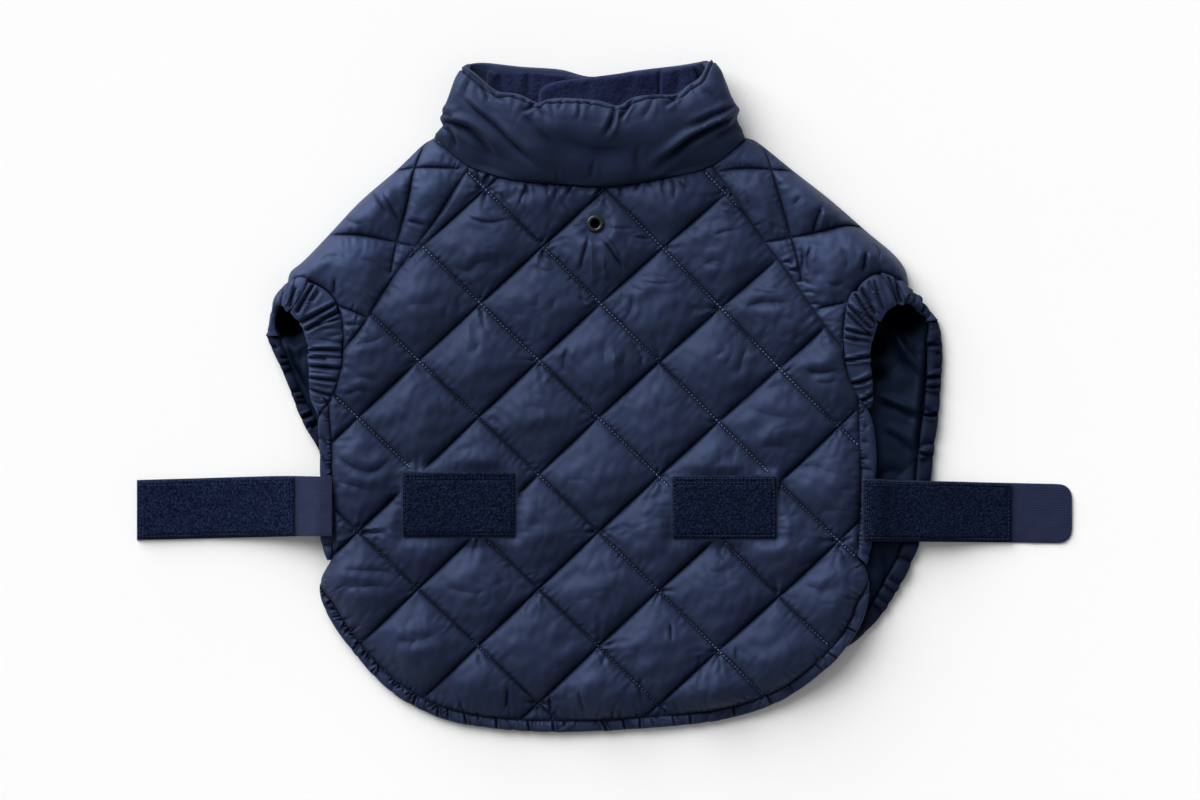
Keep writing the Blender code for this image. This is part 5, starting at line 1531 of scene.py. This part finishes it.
def make_fleece(look):
    """The fleece inside the collar and the fleece flap that overlaps it."""
    flap = joined(place(FLEECE_FLAP[:1]), curve(FLEECE_FLAP[1:-1], 0.002), place(FLEECE_FLAP[-1:]))
    outlines = {"collar_lining": (joined(spaced(place(FLEECE_LINING), 0.002)), SEAM_GAP, FLEECE_WALL, 0.0020),
                "collar_flap": (flap, FLEECE_WALL + 2 * SEAM_GAP, FLAP_WALL, 0.0038)}
    pieces = {}
    for seed, (node, (loop, lift, wall, rim)) in enumerate(outlines.items()):
        loop = joined(spaced(closed(loop), FLEECE_STEP))
        flat, triangles, rims = net(loop, [], hexagons(loop, FLEECE_STEP), room=0.0007)
        inward = distance(flat, closed(loop))
        height = inside_height(flat) + lift + wall - 0.8 * rim * (1 - quarter_round(inward / rim))
        soft = 0.0007 * noise(flat, 0.020, 95 + seed) + nap(len(flat), 0.0006, 97 + seed)
        height += soft * ease(inward / 0.002) + creases(flat, folds_of(FLEECE_CREASES))
        if node == "collar_lining":
            height += FLAP_WALL * ease((flat[:, 0] - spot((FLEECE_LEVEL_FROM, 0))[0]) / 0.0030)
        top = (np.column_stack([flat, height]), triangles, rims, marked(flat, rims))
        pieces[node] = padded_shell(node + "_nap", top, lambda spots, z=lift: inside_height(spots) + z, 0.004,
                                    look)
    return pieces


def make_belly(look):
    """The belly panel with its smooth lining up, seen only through the leg openings and past the side."""
    outer = curve(BELLY_EDGE)
    inner = outer - sideways(outer) * (belly_band_width(outer) - TUCKED_UNDER)
    neck = curve(NECK_UNDER)
    start, end = (int(np.argmin(np.linalg.norm(neck - corner, axis=1))) for corner in place(BELLY_NECK))
    loop = joined(neck[start:end + 1] - np.array([0, SEAM_GAP]), curve(BELLY_SLEEVE_RIGHT), inner[1:],
                  curve(BELLY_LEFT), curve(BELLY_SLEEVE_LEFT))
    edge = closed(loop)
    quilted = [run for run, _ in quilt_lines(loop, BELLY_CROSSING)]
    left, right = (corner[0] for corner in place(BELLY_SEEN))
    folds = folds_of(LINING_CREASES)

    def gap(points):
        from_left = np.abs(points[:, 0] - left - 0.010) - 0.012
        return np.minimum(from_left, np.abs(points[:, 0] - right + 0.020) - 0.022)

    def under(spots):
        return 0.0009 * (1 - diamonds(spots, BELLY_CROSSING)) * ease(distance(spots, edge) / 0.004)

    flat, triangles, rims = net(loop, quilted, graded(loop, gap, *BELLY_SPACING))
    field = Field(flat).add_quilt(BELLY_CROSSING, 25, (1, 1)).add_lines([edge], 27)
    edge_gap = distance(flat, edge)
    height = BELLY_HEM + (BELLY_WALL - BELLY_HEM) * quarter_round(edge_gap / 0.0045)
    height += 0.0013 * diamonds(flat, BELLY_CROSSING) * ease(edge_gap / 0.006)
    for mouth in place(SLEEVE_MOUTHS):
        height *= 1 - 0.60 * falloff(np.linalg.norm(flat - mouth, axis=1), 0.014, 2)
    height += (creases(flat, folds) + 0.0004 * noise(flat, 0.02, 28)) * ease(edge_gap / 0.003)
    held = marked(flat, rims[:1])
    points = relax(np.column_stack([flat, height]), triangles, held, field.growth(0.006, 0.02), 50, 17)
    piece = padded_shell("belly_lining", (points, triangles, rims, held), under, 0.006, look)
    spots = flat_points(piece)
    # Painted shade in the lining's folds, none at its edge
    return shaded(piece, fold_shade(spots, folds) * ease(distance(spots, edge) / 0.003))


def strap_edges(rows, lift, segments=200, reach=(0, SHEET_SIZE[0]), margin=0.0):
    """Both edges of a strap or of the patch on it, with the height of its middle."""
    rows = smooth(rows, segments)
    rows = rows[(rows[:, 0] > min(reach)) & (rows[:, 0] < max(reach))]
    height = np.maximum(rows[:, 3:4] / 1000, 0) + lift
    return [np.hstack([place(np.column_stack([rows[:, 0], rows[:, k] + inward])), height])
            for k, inward in ((1, margin), (2, -margin))]


def tape(name, edges, wall, look, across=26, fuzz=0.0, borders=(0.0, 0.0, 0.0), seed=1):
    """A flat woven tape between two edges. With fuzz, its middle is napped inside flat stitched borders.

    The borders are the widths along the near edge, along the far edge and at both ends.
    """
    near, far = edges
    share = np.linspace(0, 1, across)
    top = near[:, None, :] + (far - near)[:, None, :] * share[None, :, None]
    tangent = np.gradient((near + far) / 2, axis=0)
    normal = facing_up(np.cross(far - near, tangent), len(near) // 2)
    width = float(np.linalg.norm(far - near, axis=1).mean())
    along = np.concatenate([[0], np.cumsum(np.linalg.norm(tangent[1:], axis=1))])
    from_near, from_far = share[None, :] * width, (1 - share)[None, :] * width
    from_end = np.minimum(along, along[-1] - along)[:, None]
    lift = 0.00012 * noise(top[:, :, :2].reshape(-1, 2), 0.012, seed).reshape(top.shape[:2])
    lift = lift - 0.0004 * (1 - quarter_round(np.minimum(from_near, from_far) / 0.0007))
    if fuzz:
        inward = np.minimum(np.minimum(from_near - borders[0], from_far - borders[1]), from_end - borders[2])
        rough = nap(lift.size, fuzz, seed + 1).reshape(lift.shape)
        lift = lift - BORDER_SUNK + ease(inward / 0.0009) * (BORDER_SUNK + rough)
    upper = top + normal[:, None, :] * (wall / 2 + lift)[:, :, None]
    lower = top[:, ::-1][:, [0, across // 3, 2 * across // 3, -1]] - normal[:, None, :] * wall / 2
    points = np.concatenate([upper, lower], axis=1)
    points[:, :, 2] = np.maximum(points[:, :, 2], 0)
    return skin(name, points, look, 55)


def frame_stitches(edges, gaps):
    """Stitched lines on a patch: gaps from its near edge, its far edge and its ends."""
    near, far = edges
    width = float(np.linalg.norm(far - near, axis=1).mean())
    rows = [near + (far - near) * gaps[0] / width, far + (near - far) * gaps[1] / width]
    ends = []
    for index, beside_it in ((0, 1), (-1, -2)):
        inward = near[beside_it] - near[index]
        inward = inward / np.linalg.norm(inward) * gaps[2]
        ends.append(np.vstack([row[index] + inward for row in rows]))
    trim = max(1, round(gaps[2] / float(np.linalg.norm(near[1] - near[0]))))
    rows = [row[trim:-trim] for row in rows]
    return [line + np.array([0, 0, PATCH_WALL / 2 - 0.0005]) for line in rows + ends]


def make_straps(webbing_look, touches):
    """The straps and the touch tape on them, by node; also their stitched lines."""
    pieces, lines = {}, {}
    for side, rows, reach, touch, seed in (("left", STRAP_LEFT, PATCH_LEFT_REACH, touches[0], 101),
                                           ("right", STRAP_RIGHT, PATCH_RIGHT_REACH, touches[1], 105)):
        pieces["strap_" + side] = tape("strap_tape_" + side, strap_edges(rows, WEBBING_WALL / 2),
                                       WEBBING_WALL, webbing_look, seed=seed)
        edges = strap_edges(rows, WEBBING_WALL + SEAM_GAP + PATCH_WALL / 2, 330, reach, PATCH_MARGIN)
        node = "strap_patch_" + side
        pieces[node] = tape("strap_loops_" + side, edges, PATCH_WALL, touch, 72, 0.0007, PATCH_BORDERS,
                            seed + 1)
        lines[node] = frame_stitches(edges, PATCH_STITCHES)
    return pieces, lines


def make_pads(touch):
    """The touch-tape pads on the back, by node; also their stitched lines, two along the upper edge."""
    pieces, lines = {}, {}
    for seed, (node, (low, high)) in enumerate(PADS.items()):
        corners = place([low, (high[0], low[1]), (low[0], high[1]), high])
        level = np.full(131, PAD_LEVEL + SEAM_GAP + PATCH_WALL / 2)
        edges = [np.column_stack([resample(ends, 130), level]) for ends in (corners[:2], corners[2:])]
        pieces[node] = tape(node + "_loops", edges, PATCH_WALL, touch, 76, 0.0008, PAD_BORDERS, 111 + seed)
        lines[node] = frame_stitches(edges, PAD_STITCHES) + frame_stitches(edges, PAD_SECOND_ROW)[:1]
    return pieces, lines


def make_eyelet(look):
    """A rolled black ring on the panel with a short barrel down through it."""
    low = EYELET_LEVEL + SEAM_GAP
    middle = (EYELET_RADIUS + EYELET_HOLE) / 2
    half = (EYELET_RADIUS - EYELET_HOLE) / 2
    crown = [(middle + half * math.cos(swing), low + 0.0003 + EYELET_RISE * math.sin(swing) ** 0.8)
             for swing in np.linspace(0, math.pi, 15)]
    foot = BACK_CLEAR + 0.0005
    profile = [(EYELET_BARREL, low), (EYELET_RADIUS, low), *crown, (EYELET_HOLE, foot), (EYELET_BARREL, foot)]
    centre = spot(EYELET_CENTRE)
    points = [np.column_stack([ring(centre, radius, 64), np.full(64, level)]) for radius, level in profile]
    return skin("eyelet_ring", np.stack(points, axis=1), look, 35, True)


# ---- thread ----

def threads(name, lines, look):
    """Stitches along lines that lie on the cloth, each a short bent capsule, joined in one mesh."""
    spots, headings = [], []
    for line in lines:
        stations = np.arange(STITCH_PITCH / 2, travel(line)[-1], STITCH_PITCH)
        before, here, ahead = (at(line, stations + step) for step in (-0.0003, 0, 0.0003))
        spots.append(here)
        headings.append(ahead - before)
    spots, headings = np.vstack(spots), unit(np.vstack(headings))
    side = unit(np.cross(headings, (0, 0, 1)))
    up = np.cross(side, headings)
    points = []
    for share, thick, drop in CAPSULE:
        for angle in np.linspace(0, 2 * math.pi, THREAD_SIDES, endpoint=False):
            level = THREAD_RADIUS * (thick * math.sin(angle) + drop) + THREAD_LIFT
            points.append(spots + headings * share * STITCH_LENGTH
                          + side * THREAD_RADIUS * thick * math.cos(angle) + up * level)
    points = np.stack(points, axis=1)
    faces = []
    for first in range(0, (len(CAPSULE) - 1) * THREAD_SIDES, THREAD_SIDES):
        for k in range(THREAD_SIDES):
            a, b = first + k, first + (k + 1) % THREAD_SIDES
            faces += [(a, b, b + THREAD_SIDES), (a, b + THREAD_SIDES, a + THREAD_SIDES)]
    last = (len(CAPSULE) - 1) * THREAD_SIDES
    faces += [(0, k + 1, k) for k in range(1, THREAD_SIDES - 1)]
    faces += [(last, last + k, last + k + 1) for k in range(1, THREAD_SIDES - 1)]
    faces = np.array(faces)[None] + (np.arange(len(spots)) * points.shape[1])[:, None, None]
    return mesh_object(name, points.reshape(-1, 3), faces.reshape(-1, 3), look)


# ---- materials ----

WHITE = (1, 1, 1)
BLUE_GLOSS = (0.42, 0.58, 1.0)
# Colour that the painted shade reaches at the bottom of a fold
PAINTED_FOLD_SHADE = (0.0008, 0.0020, 0.0085)


class Look:
    """A material and short ways to add nodes to it."""

    def __init__(self, name, roughness, specular, sheen=0.0, gloss=WHITE, sheen_tint=WHITE):
        self.material = bpy.data.materials.new(name)
        self.material.use_nodes = True
        self.tree = self.material.node_tree
        self.shader = self.tree.nodes["Principled BSDF"]
        self.feed(self.shader, {"Roughness": roughness, "Specular IOR Level": specular,
                                "Specular Tint": (*gloss, 1), "Sheen Weight": sheen, "Sheen Roughness": 0.45,
                                "Sheen Tint": (*sheen_tint, 1)})
        self.place = self.node("TexCoord", {}).outputs["Object"]
        self.relief = None

    def feed(self, node, inputs):
        """Sets a node's inputs to values, or links them to the outputs of others."""
        for name, value in inputs.items():
            if isinstance(value, bpy.types.NodeSocket):
                self.tree.links.new(value, node.inputs[name])
            else:
                node.inputs[name].default_value = value

    def node(self, kind, inputs, **settings):
        node = self.tree.nodes.new("ShaderNode" + kind)
        for name, value in settings.items():
            setattr(node, name, value)
        self.feed(node, inputs)
        return node

    def math(self, kind, first, second, clamp=False):
        return self.node("Math", {0: first, 1: second}, operation=kind, use_clamp=clamp).outputs[0]

    def noise(self, scale, detail=2.0, rough=0.5):
        inputs = {"Vector": self.place, "Scale": scale, "Detail": detail, "Roughness": rough}
        return self.node("TexNoise", inputs).outputs["Fac"]

    def waves(self, scale, direction):
        inputs = {"Vector": self.place, "Scale": scale, "Distortion": 0.6, "Detail": 1.0}
        return self.node("TexWave", inputs, bands_direction=direction).outputs["Fac"]

    def streaks(self, scale, angle, seed):
        """Slender ridges that come and go, nearly along one direction."""
        turned = self.node("Mapping", {"Vector": self.place, "Location": (seed, 0, seed),
                                       "Rotation": (0, 0, math.radians(angle)), "Scale": (1, 0.22, 1)})
        inputs = {"Vector": turned.outputs["Vector"], "Scale": scale, "Detail": 0.0, "Roughness": 0.5,
                  "Distortion": 0.35}
        ridges = self.node("TexNoise", inputs, noise_type="RIDGED_MULTIFRACTAL").outputs["Fac"]
        shown = self.math("SUBTRACT", self.noise(14, 1.0), 0.42, True)
        sharp = self.math("POWER", ridges, 3.0)
        return self.math("MULTIPLY", sharp, self.math("MULTIPLY", shown, 4.0))

    def colour(self, dark, light, factor, low=0.3, high=0.7):
        """Lets a factor blend two colours."""
        spread = self.node("MapRange", {"From Min": low, "From Max": high, "Value": factor}).outputs["Result"]
        self.blend(spread, dark, (*light, 1))

    def blend(self, factor, dark, light):
        """The colour goes from dark to light with a factor."""
        mix = self.node("Mix", {"A": (*dark, 1), "B": light, "Factor": factor}, data_type="RGBA")
        self.feed(self.shader, {"Base Color": mix.outputs["Result"]})

    def multiply(self, shade, painted_shade_colour=(0, 0, 0)):
        """Paints shade: the colour and the gloss follow a shade from 0 to 1, down to the painted shade's
        colour.
        """
        self.blend(shade, painted_shade_colour, self.shader.inputs["Base Color"].links[0].from_socket)
        socket = self.shader.inputs["Specular IOR Level"]
        gloss = socket.links[0].from_socket if socket.is_linked else socket.default_value
        self.feed(self.shader, {"Specular IOR Level": self.math("MULTIPLY", shade, gloss)})

    def paint_shadow_spots(self, spots):
        """Paints shadow on the cloth round places deep inside the coat: (place, dark radius, lit radius)."""
        shade = 1.0
        for where, dark, lit in spots:
            gap = self.node("VectorMath", {0: self.place, 1: (*spot(where), 0.005)}, operation="DISTANCE")
            spread = self.node("MapRange", {"Value": gap.outputs["Value"], "From Min": dark * SQUARE,
                                            "From Max": lit * SQUARE}, interpolation_type="SMOOTHSTEP")
            shade = self.math("MULTIPLY", spread.outputs["Result"], shade)
        self.multiply(shade)

    def paint_crease_shade(self, depth):
        """Paints shade into the cloth in its marked creases."""
        mark = self.node("Attribute", {}, attribute_name="crease").outputs["Fac"]
        ragged = self.math("SUBTRACT", self.math("MULTIPLY", self.noise(520, 1.0), 0.9), 0.45)
        edge = self.math("MULTIPLY", mark, self.math("ADD", 1.0, ragged), True)
        self.multiply(self.math("SUBTRACT", 1.0, self.math("MULTIPLY", edge, depth)), PAINTED_FOLD_SHADE)

    def bump(self, height, depth):
        """Relief on top of any that is there."""
        below = {} if self.relief is None else {"Normal": self.relief}
        self.relief = self.node("Bump", {"Distance": depth, "Height": height, **below}).outputs["Normal"]
        self.feed(self.shader, {"Normal": self.relief})


def shades(colour, shade):
    """A colour made lighter or darker."""
    return tuple(part * shade for part in colour)


STREAKS = [
    # scale, angle in degrees, seed and depth of the taffeta's fine creases
    (110, 20, 0.3, 0.00075), (130, -38, 5.1, 0.00070), (95, 78, 9.7, 0.00060),
]


# The navy cloth at a shade: copies at other shades are the same cloth painted lighter or darker, as painted
# light and painted shade
def taffeta(name, shade):
    look = Look(name, 0.58, 0.34 * shade, 0.03 * shade, BLUE_GLOSS)
    look.colour(shades((0.0120, 0.0175, 0.044), shade), shades((0.0158, 0.0228, 0.056), shade),
                look.noise(18, 3))
    # Painted shade in the marked creases
    look.paint_crease_shade(0.88)
    look.bump(look.noise(45, 1, 0.5), 0.0012)
    for scale, angle, seed, depth in STREAKS:
        look.bump(look.streaks(scale, angle, seed), depth)
    look.bump(look.noise(700, 2), 0.00003)
    return look.material


# Painted shadow inside the sleeves: (place, radius of full shade, radius where it is fully lit), in squares
PAINTED_SHADOW_SPOTS = [((290, 322), 13, 20), ((903, 312), 16, 38), ((877, 345), 6, 24), ((878, 372), 0, 18)]


def smooth_lining():
    look = Look("dark_lining", 0.58, 0.12, gloss=(0.4, 0.6, 1.0))
    look.colour((0.0038, 0.0070, 0.0165), (0.0055, 0.0095, 0.0220), look.noise(22))
    # Painted shadow round the sleeves' mouths, then painted shade in the creases
    look.paint_shadow_spots(PAINTED_SHADOW_SPOTS)
    look.paint_crease_shade(0.8)
    look.bump(look.noise(120, 3), 0.0004)
    return look.material


def fleece():
    look = Look("navy_fleece", 0.95, 0.05, 0.28, sheen_tint=(0.35, 0.42, 0.9))
    look.colour((0.0060, 0.0085, 0.028), (0.0125, 0.0165, 0.050), look.noise(620, 3, 0.7))
    look.bump(look.noise(900, 3, 0.7), 0.0005)
    return look.material


def touch_tape(name, shade):
    look = Look(name, 0.95, 0.05, 0.13 * shade, BLUE_GLOSS, (0.30, 0.42, 1.0))
    look.colour(shades((0.0016, 0.0032, 0.0105), shade), shades((0.0090, 0.0140, 0.0370), shade),
                look.noise(640, 2, 0.75), 0.41, 0.61)
    look.bump(look.noise(760, 2, 0.6), 0.0006)
    return look.material


def webbing():
    look = Look("navy_webbing", 0.75, 0.12, 0.15)
    ribs = look.waves(480, "X")
    look.colour((0.0074, 0.0122, 0.0370), (0.0155, 0.0225, 0.0640), ribs, 0.2, 0.8)
    look.bump(ribs, 0.00016)
    look.bump(look.waves(300, "Y"), 0.00010)
    return look.material


def thread(name, shade):
    look = Look(name, 0.7, 0.10, gloss=BLUE_GLOSS)
    look.colour(shades((0.012, 0.021, 0.055), shade), shades((0.130, 0.178, 0.305), shade), look.noise(16),
                0.43, 0.57)
    look.bump(look.noise(4000), 0.00005)
    return look.material


def black_metal():
    look = Look("black_satin_metal", 0.32, 0.5)
    look.colour((0.008, 0.008, 0.009), (0.013, 0.013, 0.014), look.noise(300))
    look.bump(look.noise(1500), 0.00002)
    return look.material


# ---- the picture ----

CAMERA_HEIGHT = 6.0              # a long lens: what stands up hardly moves outwards
AMBIENT = 0.30
SUN_WAY = (0.75, -1.0)           # the light goes to the coat's right and towards its hem
SUNS = [
    # name, strength, drop on that way and spread in degrees
    ("key", 2.95, 0.85, 55), ("skimming", 3.40, 0.30, 60),
]


def set_stage():
    scene = bpy.context.scene
    scene.view_settings.view_transform = "Standard"
    scene.cycles.use_denoising = True
    camera = bpy.data.objects.new("camera", bpy.data.cameras.new("camera"))
    scene.collection.objects.link(camera)
    camera.location = (*spot((SHEET_SIZE[0] / 2, SHEET_SIZE[1] / 2)), CAMERA_HEIGHT)
    camera.data.lens = camera.data.sensor_width * CAMERA_HEIGHT / (SHEET_SIZE[0] * SQUARE)
    scene.camera = camera
    paper = Look("paper", 0.9, 0.3)
    paper.colour((0.875, 0.875, 0.875), (0.885, 0.885, 0.885), paper.noise(3))
    floor = mesh_object("floor", np.array([(-3, -3, 0), (3, -3, 0), (3, 3, 0), (-3, 3, 0)], float),
                        np.array([(0, 1, 2, 3)]), paper.material)
    floor.location.z = -0.0001
    world = bpy.data.worlds.new("studio")
    world.use_nodes = True
    world.node_tree.nodes["Background"].inputs["Color"].default_value = (1, 1, 1, 1)
    world.node_tree.nodes["Background"].inputs["Strength"].default_value = AMBIENT
    scene.world = world
    for name, strength, drop, spread in SUNS:
        light = bpy.data.objects.new(name, bpy.data.lights.new(name, "SUN"))
        light.data.energy = strength
        light.data.angle = math.radians(spread)
        light.rotation_euler = Vector((*SUN_WAY, -drop)).to_track_quat("-Z", "Y").to_euler()
        scene.collection.objects.link(light)
    scene.cursor.location = (0, 0, 0)


SHEETS = {
    # node: width and length of the cut that shows, in metres, its area's share of them, and what it lies on
    "strap_left": (0.124, 0.0395, 1, []), "strap_right": (0.134, 0.0385, 1, []),
    "strap_patch_left": (0.097, 0.038, 1, ["strap_left"]),
    "strap_patch_right": (0.092, 0.037, 1, ["strap_right"]),
    "pad_left": (0.069, 0.039, 1, ["back_panel"]), "pad_right": (0.064, 0.038, 1, ["back_panel"]),
    "collar_lining": (0.131, 0.040, 0.62, ["collar"]), "collar_flap": (0.075, 0.040, 0.75, ["collar_lining"]),
}


def put(piece, node):
    """The piece takes a node's place in the frame."""
    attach(piece, "root")
    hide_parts(node)


def put_threads(stitched, look, painted_shade_look):
    """The stitches of each piece, from its stitched lines; those of the sheets by node."""
    sewn = {}
    for part, lines in stitched.items():
        # The back's falling lines get the thread as it is; every other line gets a copy painted dark: painted
        # shade on the back's rising lines, which lie in shadow, and stitches that hardly show on the
        # shoulders, straps and pads
        piece = threads("thread_" + part, lines, look if part == "back" else painted_shade_look)
        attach(piece, "root")
        sewn[part] = piece
    return sewn


def declare(sewn):
    """Goes through the table of sheets; it says nothing about any piece."""
    for node, (width, length, share, rests_on) in SHEETS.items():
        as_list(rests_on)


set_stage()
NAVY = taffeta("navy_taffeta", 0.93)
LINING = smooth_lining()
LOOPS = touch_tape("navy_loop_tape", 1.0)
HOOKS = touch_tape("navy_hook_tape", 1.5)
STITCHED = {}
piece, (STITCHED["back"], STITCHED["back_rising"]) = make_back(NAVY)
put(piece, "back_panel")
for side in SHOULDERS:
    piece, STITCHED["shoulder_" + side] = make_shoulder(side)
    put(piece, "shoulder_" + side)
# The belly bindings are the navy cloth painted about half as bright: painted shade
for node, piece in make_bands(NAVY, taffeta("navy_belly_binding_painted_shade", 0.48), LINING).items():
    put(piece, node)
put(make_collar(NAVY), "collar")
for node, piece in make_fleece(fleece()).items():
    put(piece, node)
put(make_belly(LINING), "belly_panel")
for pieces, lines in (make_straps(webbing(), (HOOKS, LOOPS)), make_pads(LOOPS)):
    for node, piece in pieces.items():
        put(piece, node)
    STITCHED.update(lines)
put(make_eyelet(black_metal()), "eyelet")
declare(put_threads(STITCHED, thread("navy_thread", 1.0), thread("navy_thread_painted_shade", 0.12)))
